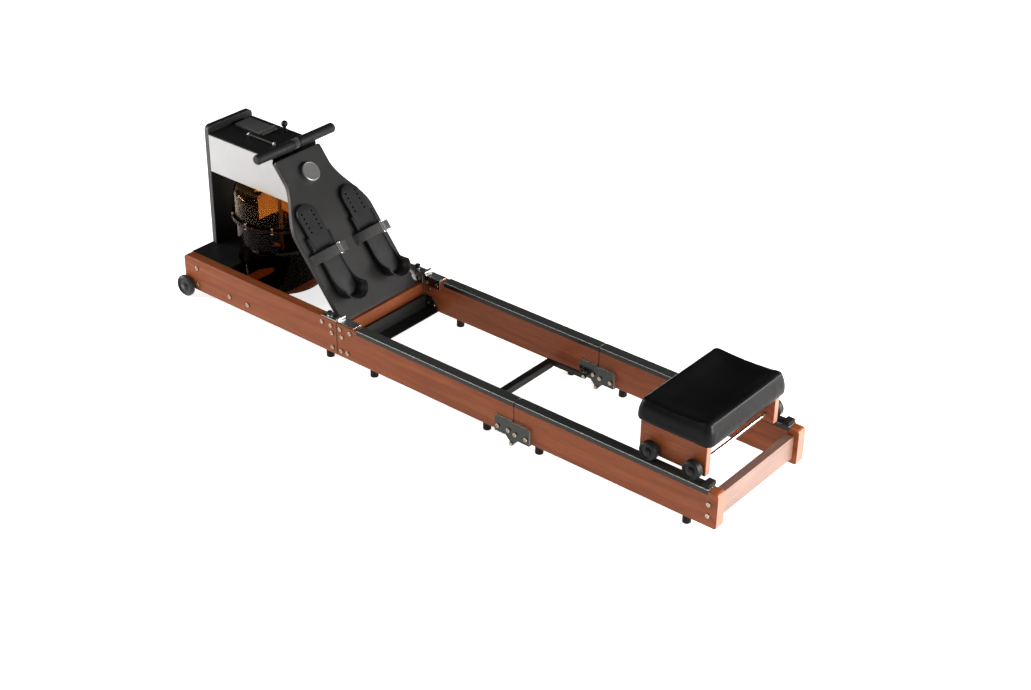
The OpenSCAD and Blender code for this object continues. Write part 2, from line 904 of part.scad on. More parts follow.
// One hinge leaf on the +Y rail, with the knuckle on its inner or outer half
module hinge_leaf(dir, y0, y1, bore) {
    difference() {
        union() {
            block(
                fold1 + (dir < 0 ? -leaf_len - fold_gap / 2 : fold_gap / 2),
                fold1 + (dir < 0 ? -fold_gap / 2 : leaf_len + fold_gap / 2),
                inner_y - leaf_t, rail_y + knuckle_half, rail_top, rail_top + leaf_t);
            block(
                fold1 + (dir < 0 ? -leaf_len - fold_gap / 2 : fold_gap / 2 + leaf_t),
                fold1 + (dir < 0 ? -fold_gap / 2 - leaf_t : leaf_len + fold_gap / 2),
                inner_y - leaf_t, inner_y, rail_top - 28, rail_top + leaf_t);
            bar_y(fold1, pivot1_z, knuckle_r, y0, y1);
            block(
                fold1 + (dir < 0 ? -knuckle_r : 0),
                fold1 + (dir < 0 ? 0 : knuckle_r),
                y0, y1, rail_top + leaf_t / 2, pivot1_z);
        }
        bar_y(fold1, pivot1_z, bore, y0 - 1, y1 + 1);
        bar_y(fold1, pivot1_z, knuckle_r + move_gap, inner_y - 2 * leaf_t, y0 > rail_y ? y0 - move_gap : inner_y);
        bar_y(fold1, pivot1_z, knuckle_r + move_gap, y1 + (y1 < rail_y ? move_gap / 2 : 0), y1 + 2 * rail_t);
        if (y0 > rail_y)
            bar_y(fold1, pivot1_z, knuckle_r + move_gap, inner_y - 2 * leaf_t, y0 - move_gap / 2);
    }
}

module front_hinge_leaves() {
    color([0.75, 0.76, 0.78])
        both_sides()
            difference() {
                union() {
                    hinge_leaf(-1, inner_y, rail_y - move_gap / 2, pin_r);
                    lock_bore(lock_knob_r, rail_top + leaf_t - 1, rail_top + leaf_t + 4);
                }
                lock_bore(lock_r + run_fit, rail_top - 1, rail_top + leaf_t + 5);
                bolt_holes(front_bolts_at);
            }
}

module front_bolts() {
    color([0.7, 0.7, 0.72]) {
        both_sides() {
            bolts(front_bolts_at);
            bar_y(fold1, pivot1_z, pin_r, inner_y, rail_y + knuckle_half);
            bar_y(fold1, pivot1_z, pin_r + 2, inner_y - 2, inner_y);
        }
        at_tank()
            for (a = [0 : 360 / flange_bolts : 359])
                rotate(a + 180 / flange_bolts)
                    translate([(flange_r + tank_high_r) / 2 + 0.4, 0, flange_z]) {
                        half = seal_t / 2 + flange_t;
                        translate([0, 0, -half - 3])
                            cylinder(r = flange_bolt_r, h = 2 * half + 3);
                        translate([0, 0, half])
                            cylinder(r = flange_bolt_r * 1.8, h = 3);
                        translate([0, 0, -half - 3])
                            cylinder(r = flange_bolt_r * 1.8, h = 3);
                    }
    }
}

wheel_in = outer_y + 1.5;

module wheel_axles() {
    color([0.6, 0.6, 0.62])
        both_sides() {
            bar_y(wheel_at, wheel_z, wheel_axle_r, inner_y - nut_h, wheel_in + wheel_w + move_gap + 1);
            bar_y(wheel_at, wheel_z, axle_head_r, inner_y - nut_h, inner_y);
            bar_y(wheel_at, wheel_z, axle_head_r, outer_y, wheel_in - move_gap);
            bar_y(wheel_at, wheel_z, axle_head_r, wheel_in + wheel_w + move_gap, wheel_in + wheel_w + move_gap + 3);
        }
}

module wheel() {
    color([0.75, 0.75, 0.74])
        difference() {
            union() {
                bar_y(wheel_at, wheel_z, wheel_r, wheel_in + 2, wheel_in + wheel_w - 2);
                bar_y(wheel_at, wheel_z, wheel_r - 2, wheel_in, wheel_in + wheel_w);
            }
            ring_y(wheel_at, wheel_z, wheel_r - 8, wheel_axle_r + 6, wheel_in + wheel_w - 4, wheel_in + wheel_w + 1);
            bar_y(wheel_at, wheel_z, wheel_axle_r + run_fit, wheel_in - 1, wheel_in + wheel_w + 1);
        }
}

module transport_wheel_left() {
    mirror([0, 1, 0])
        wheel();
}

module transport_wheel_right() {
    wheel();
}

bearing_top = house_top - 6;

module drive_bearings() {
    color([0.5, 0.5, 0.52])
        at_tank() {
            difference() {
                union() {
                    translate([0, 0, house_low + house_t])
                        cylinder(r = bearing_r, h = bearing_w);
                    translate([0, 0, bearing_top - bearing_w])
                        cylinder(r = bearing_r, h = house_top - bearing_top + bearing_w);
                }
                translate([0, 0, house_low])
                    cylinder(r = shaft_r + run_fit, h = bearing_top - house_low);
            }
        }
}

module guide_roller() {
    color([0.15, 0.15, 0.15])
        ring_y(guide_at, guide_z, guide_r, pin_r + run_fit, -roller_half, roller_half);
}

strap_arch = (strap_span * strap_span + strap_h * strap_h) / (2 * strap_h);

module foot_straps() {
    color([0.08, 0.08, 0.09])
        on_board()
            for (y = [-rest_y, rest_y])
                difference() {
                    translate([strap_at - strap_w / 2, y, strap_h - strap_arch])
                        rotate([90, 0, 90])
                            linear_extrude(strap_w)
                                difference() {
                                    circle(r = strap_arch, $fn = 96);
                                    circle(r = strap_arch - strap_t, $fn = 96);
                                }
                    translate([strap_at - strap_w, y - 2 * strap_arch, -3 * strap_arch])
                        cube([2 * strap_w, 4 * strap_arch, 3 * strap_arch]);
                }
}

buckle_t = 3;

module strap_buckles() {
    color([0.8, 0.8, 0.8])
        on_board()
            for (y = [-rest_y, rest_y])
                translate([strap_at, y, strap_h - strap_arch])
                    rotate([-34, 0, 0])
                        translate([0, 0, strap_arch])
                            difference() {
                                translate([-strap_w / 2 - 4, -8, 0])
                                    cube([strap_w + 8, 18, buckle_t]);
                                translate([-strap_w / 2, -3, -1])
                                    cube([strap_w, 8, buckle_t + 2]);
                            }
}

// One side of the strap along an arc round a centre, in steps of about 10 degrees
function arc_side(d, z, r, from, to) =
    let (n = ceil(abs(to - from) / 10))
    [for (i = [0 : n]) let (a = from + (to - from) * i / n) [d + r * cos(a), z + r * sin(a)]];

function turned(list) = [for (i = [len(list) - 1 : -1 : 0]) list[i]];

// The strap leaves the drum standing, turns flat, goes under the rod, over the roller and round the bar
module pull_strap() {
    layer = spool_r + pull_t + 0.9 + pull_t / 2;
    lean = asin(layer / (rod_at - tank_at));
    length = (rod_at - tank_at) * cos(lean) - pull_w / 4;
    rod = rod_r + run_fit;
    guide = guide_r + run_fit;
    loop = bar_r + run_fit;
    gap = norm([rod_at - guide_at, guide_z - rod_z]);
    aim = atan2(guide_z - rod_z, guide_at - rod_at) + asin((rod + guide + pull_t) / gap);
    reach = norm([handle_at - guide_at, handle_z - guide_z]);
    climb = atan2(handle_z - guide_z, handle_at - guide_at) + asin((loop - guide) / reach);
    left = concat(
        arc_side(rod_at, rod_z, rod, -90, aim - 90),
        arc_side(guide_at, guide_z, guide + pull_t, aim + 90, climb + 90),
        arc_side(handle_at, handle_z, loop + pull_t, climb + 90, climb - 230)
    );
    right = concat(
        arc_side(rod_at, rod_z, rod + pull_t, -90, aim - 90),
        arc_side(guide_at, guide_z, guide, aim + 90, climb + 90),
        arc_side(handle_at, handle_z, loop, climb + 90, climb - 230)
    );
    color([0.1, 0.1, 0.1]) {
        at_tank() {
            translate([0, 0, spool_z - pull_w / 2])
                difference() {
                    cylinder(r = spool_r + run_fit + pull_t, h = pull_w);
                    translate([0, 0, -1])
                        cylinder(r = spool_r + run_fit, h = pull_w + 2);
                }
            translate([layer * sin(lean), -layer * cos(lean), spool_z])
                rotate([0, 0, lean])
                    rotate([0, 90, 0])
                        linear_extrude(height = length, twist = 90, slices = 12)
                            square([pull_w, pull_t], center = true);
        }
        across(0, -pull_w / 2, pull_w / 2, 0)
            polygon(concat(left, turned(right)));
    }
}

module fill_cap() {
    color([0.1, 0.1, 0.1])
        translate([x0 + tank_at, fill_y, fill_z]) {
            cylinder(r = cap_r - 1.5, h = cap_h);
            for (a = [0 : 30 : 359])
                rotate(a)
                    translate([cap_r - 2.5, 0, 0])
                        cylinder(r = 2.5, h = cap_h - 2);
            translate([0, 0, -8])
                cylinder(r = fill_r - run_fit, h = 9);
        }
}

module paddle_wheel() {
    color([0.2, 0.2, 0.2])
        at_tank()
            translate([0, 0, paddle_z])
                difference() {
                    union() {
                        cylinder(r = shaft_r + 8, h = paddle_h);
                        for (a = [0 : 360 / blades : 359])
                            rotate(a)
                                translate([shaft_r + 3, -1.5, 4])
                                    cube([paddle_r - shaft_r - 3, 3, paddle_h - 8]);
                    }
                    translate([0, 0, -1])
                        cylinder(r = shaft_r, h = paddle_h + 2);
                }
}

spool_half = pull_w / 2 + 2;

module paddle_shaft() {
    color([0.75, 0.75, 0.77])
        at_tank() {
            translate([0, 0, paddle_z - 6])
                cylinder(r = shaft_r, h = bearing_top - paddle_z + 6 - 2);
            for (z = [spool_z - spool_half - 3 - move_gap - 5, spool_z + spool_half + 3 + move_gap])
                translate([0, 0, z])
                    cylinder(r = shaft_r + 4, h = 5);
        }
}

module drive_spool() {
    color([0.2, 0.2, 0.22])
        at_tank()
            translate([0, 0, spool_z])
                difference() {
                    union() {
                        translate([0, 0, -spool_half])
                            cylinder(r = spool_r, h = 2 * spool_half);
                        for (z = [-spool_half - 3, spool_half])
                            translate([0, 0, z])
                                cylinder(r = spool_r + 9, h = 3);
                    }
                    translate([0, 0, -2 * spool_half])
                        cylinder(r = shaft_r + run_fit, h = 4 * spool_half);
                }
}

grip_gap = pull_w / 2 + 2;

module handle_bar() {
    color([0.6, 0.6, 0.6]) {
        bar_y(handle_at, handle_z, bar_r, -grip_len / 2, grip_len / 2);
        both_sides()
            bar_y(handle_at, handle_z, grip_r - 2, grip_len / 2, grip_len / 2 + 2);
    }
}

module handle_grip() {
    color([0.06, 0.06, 0.06])
        both_sides()
            ring_y(handle_at, handle_z, grip_r, bar_r, grip_gap, grip_len / 2);
}

// A sliding foot rest on the +Y side
module foot_rest() {
    cup = rest_end - rest_r;
    rise = atan2(heel_h + rest_t, rest_end - strap_at - 30);
    color([0.4, 0.4, 0.4])
        on_board()
            translate([0, rest_y, pad_h + 0.1])
                difference() {
                    union() {
                        translate([rest_top + rest_r, 0, 0])
                            cylinder(r = rest_r, h = rest_t);
                        translate([rest_top + rest_r, -rest_r, 0])
                            cube([cup - rest_top - rest_r, 2 * rest_r, rest_t]);
                        translate([cup, 0, 0])
                            cylinder(r = rest_r, h = rest_t);
                        difference() {
                            union() {
                                translate([cup, 0, 0])
                                    cylinder(r = rest_r, h = heel_h + rest_t);
                                translate([strap_at + 30, -rest_r, 0])
                                    cube([cup - strap_at - 30, 2 * rest_r, heel_h + rest_t]);
                            }
                            translate([cup, 0, -1])
                                cylinder(r = rest_r - heel_t, h = 2 * heel_h);
                            translate([strap_at + 29, heel_t - rest_r, -1])
                                cube([cup - strap_at - 29, 2 * (rest_r - heel_t), 2 * heel_h]);
                            translate([strap_at + 30, -2 * rest_r, 0])
                                rotate([0, -rise, 0])
                                    cube([2 * rest_end, 4 * rest_r, 2 * rest_end]);
                        }
                    }
                    for (i = [0 : hole_count - 1], y = [-1, 1])
                        translate([hole_at + i * hole_pitch, y * hole_rows / 2, -1])
                            cylinder(r = hole_r, h = rest_t + 2);
                }
}

module foot_rest_left() {
    mirror([0, 1, 0])
        foot_rest();
}

module foot_rest_right() {
    foot_rest();
}

module phone_rest() {
    y0 = phone_y - phone_w / 2;
    color([0.35, 0.35, 0.36])
        difference() {
            union() {
                block(rest_hinge_at - phone_len, rest_hinge_at, y0, y0 + phone_w, phone_z - phone_t / 2, phone_z + phone_t / 2);
                block(rest_hinge_at - 12, rest_hinge_at - 8, y0, y0 + phone_w, phone_z, phone_z + phone_t / 2 + 5);
                bar_y(rest_hinge_at, phone_z, phone_t / 2, y0, y0 + phone_w);
            }
            bar_y(rest_hinge_at, phone_z, pin_r - 1 + run_fit, y0 - 1, y0 + phone_w + 1);
        }
}

module clamp_knob() {
    color([0.1, 0.1, 0.1])
        translate([x0 + ball_at, ball_y, cover_z]) {
            translate([0, 0, move_gap])
                cylinder(r = knob_stem_r, h = ball_z - move_gap);
            translate([0, 0, 6 + move_gap])
                cylinder(r = knob_stem_r + 3, h = 4);
            translate([0, 0, ball_z])
                sphere(r = ball_r);
        }
}

module lock_pin() {
    color([0.08, 0.08, 0.08])
        difference() {
            union() {
                lock_bore(lock_r, rail_top - 30, rail_top + leaf_t + 12);
                lock_bore(lock_knob_r, rail_top + leaf_t + 4 + move_gap, rail_top + leaf_t + 14);
            }
            translate([x0 + lock_at, rail_y, rail_top + leaf_t + 14])
                sphere(r = 3);
        }
}

module lock_pin_left() {
    mirror([0, 1, 0])
        lock_pin();
}

module lock_pin_right() {
    lock_pin();
}

module mid_rail() {
    color([0.5, 0.3, 0.2])
        difference() {
            rail(mid_at, mid_end, false, false);
            track_rebate(track_at, mid_end + 1);
            bolt_holes(mid_bolts_at);
            plate_holes(-1);
            bar_y(release_pivot_at, release_z, pin_r + bolt_fit, inner_y - 1, outer_y - 12);
            for (d = mid_feet_at)
                stud_hole(d, rail_y);
        }
}

release_z = foot_h + release_up;

module mid_rail_left() {
    mirror([0, 1, 0])
        mid_rail();
}

module mid_rail_right() {
    mid_rail();
}

module mid_tracks() {
    color([0.04, 0.04, 0.04])
        both_sides()
            track(track_at, mid_end);
}

module cross_tray() {
    d = mid_at + 4;
    z = foot_h;
    color([0.1, 0.1, 0.1])
        difference() {
            union() {
                block(d, d + tray_t, -inner_y, inner_y, z, z + tray_h);
                block(d, d + tray_len, -inner_y, inner_y, z, z + tray_t);
                both_sides()
                    across(d, inner_y - tray_t, inner_y, z)
                        polygon([[0, 0], [tray_len, 0], [tray_len, tray_h * 0.35], [tray_len / 2, tray_h], [0, tray_h]]);
            }
            both_sides()
                bolt_holes(mid_bolts_at);
        }
}

// Holes of the pivot plates' bolts before (-1) or behind (1) the second fold
module plate_holes(dir) {
    for (d = plate_bolts)
        bar_y(fold2 + dir * d, foot_h + plate_bolt_h, bolt_r + bolt_fit, inner_y - 3 * plate_t, outer_y + 3 * plate_t);
}

// A pivot plate drawn as a side view, its eye below the rail
module plate_view(dir) {
    from = fold_gap / 2;
    polygon([
        [dir * from, foot_h],
        [dir * plate_len, foot_h],
        [dir * plate_len, foot_h + plate_h - 6],
        [dir * (plate_len - 6), foot_h + plate_h],
        [dir * from, foot_h + plate_h]
    ]);
}

module eye_view(dir) {
    polygon([
        [0, pivot2_z - eye_r],
        [dir * 24, foot_h],
        [dir * 24, foot_h + 8],
        [dir * fold_gap / 2, foot_h + 8],
        [dir * fold_gap / 2, foot_h],
        [-dir * eye_r * 0.9, pivot2_z + eye_r * 0.43],
        [0, pivot2_z]
    ]);
    translate([0, pivot2_z])
        circle(r = eye_r);
}

module mid_hinge_plates() {
    color([0.75, 0.76, 0.78])
        both_sides() {
            difference() {
                hinge_leaf(1, rail_y + move_gap / 2, rail_y + knuckle_half, pin_r + run_fit);
                bolt_holes(mid_bolts_at);
            }
            for (y = [inner_y - plate_t, outer_y])
                difference() {
                    across(fold2, y, y + plate_t, 0) {
                        plate_view(-1);
                        eye_view(-1);
                    }
                    plate_holes(-1);
                    bar_y(fold2, pivot2_z, pivot_pin_r, y - 1, y + plate_t + 1);
                    bar_y(release_pivot_at, release_z, pin_r + bolt_fit, y - 1, inner_y + 1);
                }
        }
}

module plate_fasteners(dir) {
    for (d = plate_bolts) {
        bolt(fold2 + dir * d, foot_h + plate_bolt_h, inner_y - plate_back(dir), outer_y + plate_front(dir));
        bar_y(fold2 + dir * d, foot_h + plate_bolt_h, bolt_head_r, inner_y - plate_back(dir) - nut_h, inner_y - plate_back(dir));
    }
}

function plate_front(dir) = dir < 0 ? plate_t : 2 * plate_t + move_gap;
function plate_back(dir) = plate_front(dir);

module mid_bolts() {
    color([0.7, 0.7, 0.72])
        both_sides() {
            bolts(mid_bolts_at);
            plate_fasteners(-1);
            bar_y(fold2, pivot2_z, pivot_pin_r, inner_y - 2 * plate_t - 2 * move_gap, outer_y + 2 * plate_t + 2 * move_gap);
            for (y = [inner_y - 2 * plate_t - 2 * move_gap - 2, outer_y + 2 * plate_t + 2 * move_gap])
                bar_y(fold2, pivot2_z, pivot_pin_r + 2, y, y + 2);
            bar_y(release_pivot_at, release_z, pin_r, arm_y - move_gap, outer_y - 14);
            bar_y(release_pivot_at, release_z, pin_r + 3, arm_y - move_gap - 2, arm_y - move_gap);
        }
}

arm_y = inner_y - 2 * plate_t - 2 * move_gap - 2 - nut_h - 2 - arm_t;

module mid_feet() {
    color([0.06, 0.06, 0.06])
        both_sides()
            for (d = mid_feet_at)
                foot(d, rail_y);
}

module release_bar() {
    half = release_side / 2;
    color([0.1, 0.1, 0.1])
        difference() {
            union() {
                along_y_tube(release_at, release_z, half);
                both_sides() {
                    block(release_at - half, release_pivot_at, arm_y, arm_y + arm_t, release_z - 8, release_z + 8);
                    bar_y(release_pivot_at, release_z, 8, arm_y, arm_y + arm_t);
                }
            }
            both_sides()
                bar_y(release_pivot_at, release_z, pin_r + run_fit, arm_y - 1, arm_y + arm_t + 1);
        }
}

module along_y_tube(d, z, half) {
    across(d - half, -arm_y, arm_y, z - half)
        difference() {
            round_rect(2 * half, 2 * half, 3);
            translate([2.5, 2.5])
                square([2 * half - 5, 2 * half - 5]);
        }
}

module rear_rail() {
    color([0.5, 0.3, 0.2])
        difference() {
            rail(rear_at, rail_len, false, true);
            track_rebate(rear_at - 1, rail_len - track_back);
            bolt_holes(rear_bolts_at);
            plate_holes(1);
            for (d = rear_feet_at)
                stud_hole(d, rail_y);
        }
}

module rear_rail_left() {
    mirror([0, 1, 0])
        rear_rail();
}

module rear_rail_right() {
    rear_rail();
}

module rear_tracks() {
    color([0.04, 0.04, 0.04])
        both_sides()
            track(rear_at, rail_len - track_back);
}

module rear_crossbar() {
    z = foot_h + (rear_bolts_at[0][1] + rear_bolts_at[1][1]) / 2 - rear_bar_h / 2;
    color([0.5, 0.3, 0.2])
        difference() {
            block(rear_bolts_at[0][0] - rear_bar_t / 2, rear_bolts_at[0][0] + rear_bar_t / 2, -inner_y, inner_y, z, z + rear_bar_h);
            both_sides()
                bolt_holes(rear_bolts_at);
        }
}

module rear_pivot_plates() {
    color([0.75, 0.76, 0.78])
        both_sides()
            for (side = [-1, 1]) {
                face = side < 0 ? inner_y : outer_y;
                step = side * (plate_t + move_gap);
                difference() {
                    union() {
                        across(fold2, min(face, face + step + side * plate_t), max(face, face + step + side * plate_t), 0)
                            plate_view(1);
                        across(fold2, min(face + step, face + step + side * plate_t), max(face + step, face + step + side * plate_t), 0)
                            eye_view(1);
                    }
                    plate_holes(1);
                    bar_y(fold2, pivot2_z, pivot_pin_r + run_fit, face - 4 * plate_t, face + 4 * plate_t);
                }
            }
}

module rear_bolts() {
    color([0.7, 0.7, 0.72])
        both_sides() {
            bolts(rear_bolts_at);
            plate_fasteners(1);
        }
}

module rear_feet() {
    color([0.06, 0.06, 0.06])
        both_sides()
            for (d = rear_feet_at)
                foot(d, rail_y);
}

module end_stops() {
    d = rail_len - track_back - stop_len;
    color([0.07, 0.07, 0.07])
        both_sides()
            across(d, inner_y - 8, outer_y - 2, track_z)
                round_rect(stop_len, stop_h, 3);
}

// One corner of a rounded outline at a given angle, inset from the cushion's edge
function outline(a, inset) =
    let (
        hx = seat_len / 2 - inset,
        hy = seat_w / 2 - inset,
        r = pow(pow(abs(cos(a)) / hx, 9) + pow(abs(sin(a)) / hy, 9), -1 / 9)
    )
    [r * cos(a), r * sin(a)];

function cushion_point(ring, a) =
    let (
        p = outline(a, ring[0] * (ring[1] > 0.3 && ring[1] < 0.95 ? seat_tuck / 14 : 1)),
        hollow = 1 - pow(2 * p[0] / seat_len, 2)
    )
    [p[0], p[1], seat_t * ring[1] - seat_dip * ring[2] * hollow];

module seat_cushion() {
    n = cushion_sides;
    m = len(cushion_rings);
    points = [
        for (ring = cushion_rings, i = [0 : n - 1]) cushion_point(ring, i * 360 / n)
    ];
    low = [0, 0, 0];
    high = [0, 0, seat_t * 1.03 - seat_dip];
    sides = [
        for (k = [0 : m - 2], i = [0 : n - 1])
            let (a = k * n + i, b = k * n + (i + 1) % n)
            each [[a, b + n, b], [a, a + n, b + n]]
    ];
    ends = [
        for (i = [0 : n - 1])
            let (j = (i + 1) % n)
            each [[m * n, i, j], [m * n + 1, (m - 1) * n + j, (m - 1) * n + i]]
    ];
    color([0.08, 0.08, 0.09])
        translate([x0 + seat_mid, 0, seat_z])
            polyhedron(points = concat(points, [low, high]), faces = concat(sides, ends));
}

module seat_base() {
    color([0.35, 0.25, 0.2])
        block(seat_mid - seat_len / 2 + 24, seat_mid + seat_len / 2 - 24, side_t - side_y, side_y - side_t, seat_z - pan_t, seat_z);
}

module seat_side_plates() {
    low = track_z + side_gap;
    color([0.5, 0.3, 0.2])
        both_sides()
            difference() {
                across(axle_at - side_lead, side_y - side_t, side_y, low)
                    round_rect(side_len, seat_z - low, 4);
                for (d = [axle_at, axle_at + axle_base])
                    bar_y(d, roller_z, axle_r, side_y - 2 * side_t, side_y + 1);
            }
}

roller_in = rail_y - roller_w / 2;

module seat_axles() {
    color([0.78, 0.78, 0.8])
        for (d = [axle_at, axle_at + axle_base]) {
            bar_y(d, roller_z, axle_r, -roller_in - roller_w - move_gap - 1, roller_in + roller_w + move_gap + 1);
            both_sides() {
                bar_y(d, roller_z, axle_r + 3, side_y, roller_in - move_gap);
                bar_y(d, roller_z, axle_r + 3, roller_in + roller_w + move_gap, roller_in + roller_w + move_gap + 3);
            }
        }
}

module roller(d) {
    color([0.1, 0.1, 0.1])
        difference() {
            union() {
                bar_y(d, roller_z, roller_r, roller_in + 2, roller_in + roller_w - 2);
                bar_y(d, roller_z, roller_r - 2, roller_in, roller_in + roller_w);
            }
            bar_y(d, roller_z, axle_r + run_fit, roller_in - 1, roller_in + roller_w + 1);
            ring_y(d, roller_z, roller_r - 6, axle_r + 6, roller_in + roller_w - 3, roller_in + roller_w + 1);
        }
}

module seat_roller_front_left() {
    mirror([0, 1, 0])
        roller(axle_at);
}

module seat_roller_front_right() {
    roller(axle_at);
}

module seat_roller_rear_left() {
    mirror([0, 1, 0])
        roller(axle_at + axle_base);
}

module seat_roller_rear_right() {
    roller(axle_at + axle_base);
}

front_rail_left();
front_rail_right();
front_deck();
mast_panel();
drive_housing();
top_cover();
foot_panel();
cover_disc();
foot_crossbar();
tank_bowl();
tank_lid();
tank_seal();
tank_cradle();
front_feet();
front_hinge_leaves();
front_bolts();
wheel_axles();
drive_bearings();
guide_roller();
foot_straps();
strap_buckles();
pull_strap();
fill_cap();
transport_wheel_left();
transport_wheel_right();
paddle_wheel();
paddle_shaft();
drive_spool();
handle_bar();
handle_grip();
foot_rest_left();
foot_rest_right();
phone_rest();
clamp_knob();
lock_pin_left();
lock_pin_right();
mid_rail_left();
mid_rail_right();
mid_tracks();
cross_tray();
mid_hinge_plates();
mid_bolts();
mid_feet();
release_bar();
rear_rail_left();
rear_rail_right();
rear_tracks();
rear_crossbar();
rear_pivot_plates();
rear_bolts();
rear_feet();
end_stops();
seat_cushion();
seat_base();
seat_side_plates();
seat_axles();
seat_roller_front_left();
seat_roller_front_right();
seat_roller_rear_left();
seat_roller_rear_right();
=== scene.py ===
"""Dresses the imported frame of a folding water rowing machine: lacquered timber, coated steel, the amber tank,
the foot panel with its rests and straps, the pull strap and handle, the rollers and the padded seat."""

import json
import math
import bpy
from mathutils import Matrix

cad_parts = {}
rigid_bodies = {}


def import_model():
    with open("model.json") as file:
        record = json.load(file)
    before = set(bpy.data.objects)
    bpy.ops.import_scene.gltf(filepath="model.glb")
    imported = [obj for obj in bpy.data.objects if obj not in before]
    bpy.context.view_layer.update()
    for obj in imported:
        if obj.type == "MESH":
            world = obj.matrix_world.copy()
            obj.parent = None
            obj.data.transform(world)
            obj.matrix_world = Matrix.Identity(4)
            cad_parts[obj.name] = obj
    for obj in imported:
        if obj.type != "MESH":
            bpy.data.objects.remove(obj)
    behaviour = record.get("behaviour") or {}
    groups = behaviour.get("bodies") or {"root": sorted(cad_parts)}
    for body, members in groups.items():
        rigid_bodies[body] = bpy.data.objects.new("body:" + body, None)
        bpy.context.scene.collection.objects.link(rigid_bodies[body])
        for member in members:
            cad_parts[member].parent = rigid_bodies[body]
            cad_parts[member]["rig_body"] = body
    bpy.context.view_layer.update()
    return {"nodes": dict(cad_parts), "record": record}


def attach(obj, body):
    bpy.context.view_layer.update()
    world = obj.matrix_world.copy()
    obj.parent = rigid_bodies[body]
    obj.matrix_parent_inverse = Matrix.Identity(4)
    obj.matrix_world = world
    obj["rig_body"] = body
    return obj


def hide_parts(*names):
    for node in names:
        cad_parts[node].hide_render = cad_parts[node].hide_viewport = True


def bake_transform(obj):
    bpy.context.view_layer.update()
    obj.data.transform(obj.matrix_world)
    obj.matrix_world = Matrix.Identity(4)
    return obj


bl_info = {
    "name": "Folding water rowing machine",
    "version": (1, 0, 0),
    "blender": (4, 5, 0),
    "location": "3D View > Sidebar > Rower",
    "description": "Finishes and soft pieces for a folding water rowing machine",
    "category": "Object",
}

import bmesh
import bpy
import numpy as np
from mathutils import Matrix, Vector

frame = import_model()

QUARTER = math.pi / 2
FRONT = -0.989  # x of the rails' front end
TANK_X = FRONT + 0.222  # x of the axis that tank, paddle and spool share
HANDLE_X, HANDLE_Z = FRONT + 0.303, 0.531  # middle of the handle's bar
STRAP_AT = 0.314  # distance of the foot straps down the foot panel
SIDES = ((-1, "left"), (1, "right"))


# Shapes


def ring(width, height, radius, steps=5):
    """Rounded rectangles round the origin, one for each width: a corner's centre plus r (cos a, sin a)."""
    a = (np.linspace(0, QUARTER, steps) + QUARTER * np.arange(4)[:, None]).ravel()
    sx, sy = np.repeat([1, -1, -1, 1], steps), np.repeat([1, 1, -1, -1], steps)
    w, h, r = (np.atleast_1d(np.asarray(v, float))[:, None] for v in (width, height, radius))
    return sx * (w / 2 - r) + r * np.cos(a), sy * (h / 2 - r) + r * np.sin(a)


def stack(*parts):
    """Arrays of one shape, or that broadcast to one, as the last axis of points."""
    return np.stack(np.broadcast_arrays(*parts), -1)


def slab(size, middle, corner, edge, steps=6):
    """Rounded box: a rounded rectangle carried along c, drawn in by edge (1 - sin f) at its ends."""
    f = np.linspace(0, QUARTER, 4)
    inset, lift = edge * (1 - np.sin(f)), edge * (1 - np.cos(f))
    c = np.concatenate([lift - size[2] / 2, (size[2] / 2 - lift)[::-1]])
    inset = np.concatenate([inset, inset[::-1]])
    a, b = ring(size[0] - 2 * inset, size[1] - 2 * inset, np.maximum(corner - inset, 0.2 * corner), steps)
    return stack(a, b, c[:, None]) + np.array(middle, float)


def fillet(corners, steps=5):
    """Outline through corners (a, b, radius), each rounded by an arc that touches both of its sides."""
    p = np.array([c[:2] for c in corners], float)
    r = np.array([c[2] if len(c) > 2 else 0 for c in corners], float)[:, None]
    back, on = np.roll(p, 1, 0) - p, np.roll(p, -1, 0) - p
    back /= np.linalg.norm(back, axis=1, keepdims=True)
    on /= np.linalg.norm(on, axis=1, keepdims=True)
    half = np.arccos(np.clip((back * on).sum(1, keepdims=True), -1, 1)) / 2
    middle = back + on
    middle /= np.maximum(np.linalg.norm(middle, axis=1, keepdims=True), 1e-9)
    centre = p + middle * r / np.sin(half)
    start, end = p + back * r / np.tan(half), p + on * r / np.tan(half)
    u = np.linspace(0, 1, steps)[None, :, None]
    spoke = (start - centre)[:, None] * (1 - u) + (end - centre)[:, None] * u
    length = np.maximum(np.linalg.norm(spoke, axis=2, keepdims=True), 1e-12)
    arc = centre[:, None] + spoke / length * r[:, None]
    arc = np.where(r[:, None] > 0, arc, p[:, None])
    return arc.reshape(-1, 2)


def lathe(outline, middle, axis=2, segments=72):
    """Turned surface: point (r, h) of the outline goes to r (cos a, sin a) round the axis, h along it."""
    outline = np.asarray(outline, float)
    a = np.linspace(0, 2 * math.pi, segments, endpoint=False)[:, None]
    r, h = outline[:, 0][None], outline[:, 1][None]
    first, second, height = r * np.cos(a), r * np.sin(a), h + 0 * a
    turned = ((height, first, second), (second, height, first), (first, second, height))[axis]
    return stack(*turned) + np.array(middle, float)


def running(path):
    """Length run from the start of a path to each of its points."""
    return np.concatenate([[0], np.cumsum(np.linalg.norm(np.diff(path, axis=0), axis=1))])


def heading(path, closed=False):
    """Unit vectors along a path, from the points before and after each."""
    on = np.roll(path, -1, 0) - np.roll(path, 1, 0) if closed else np.gradient(path, axis=0)
    return on / np.linalg.norm(on, axis=1, keepdims=True)


def even(path, step):
    """The same line with points a step apart, by its running length."""
    run = running(path)
    s = np.linspace(0, run[-1], max(2, int(round(run[-1] / step)) + 1))
    return np.stack([np.interp(s, run, path[:, i]) for i in range(path.shape[1])], -1)


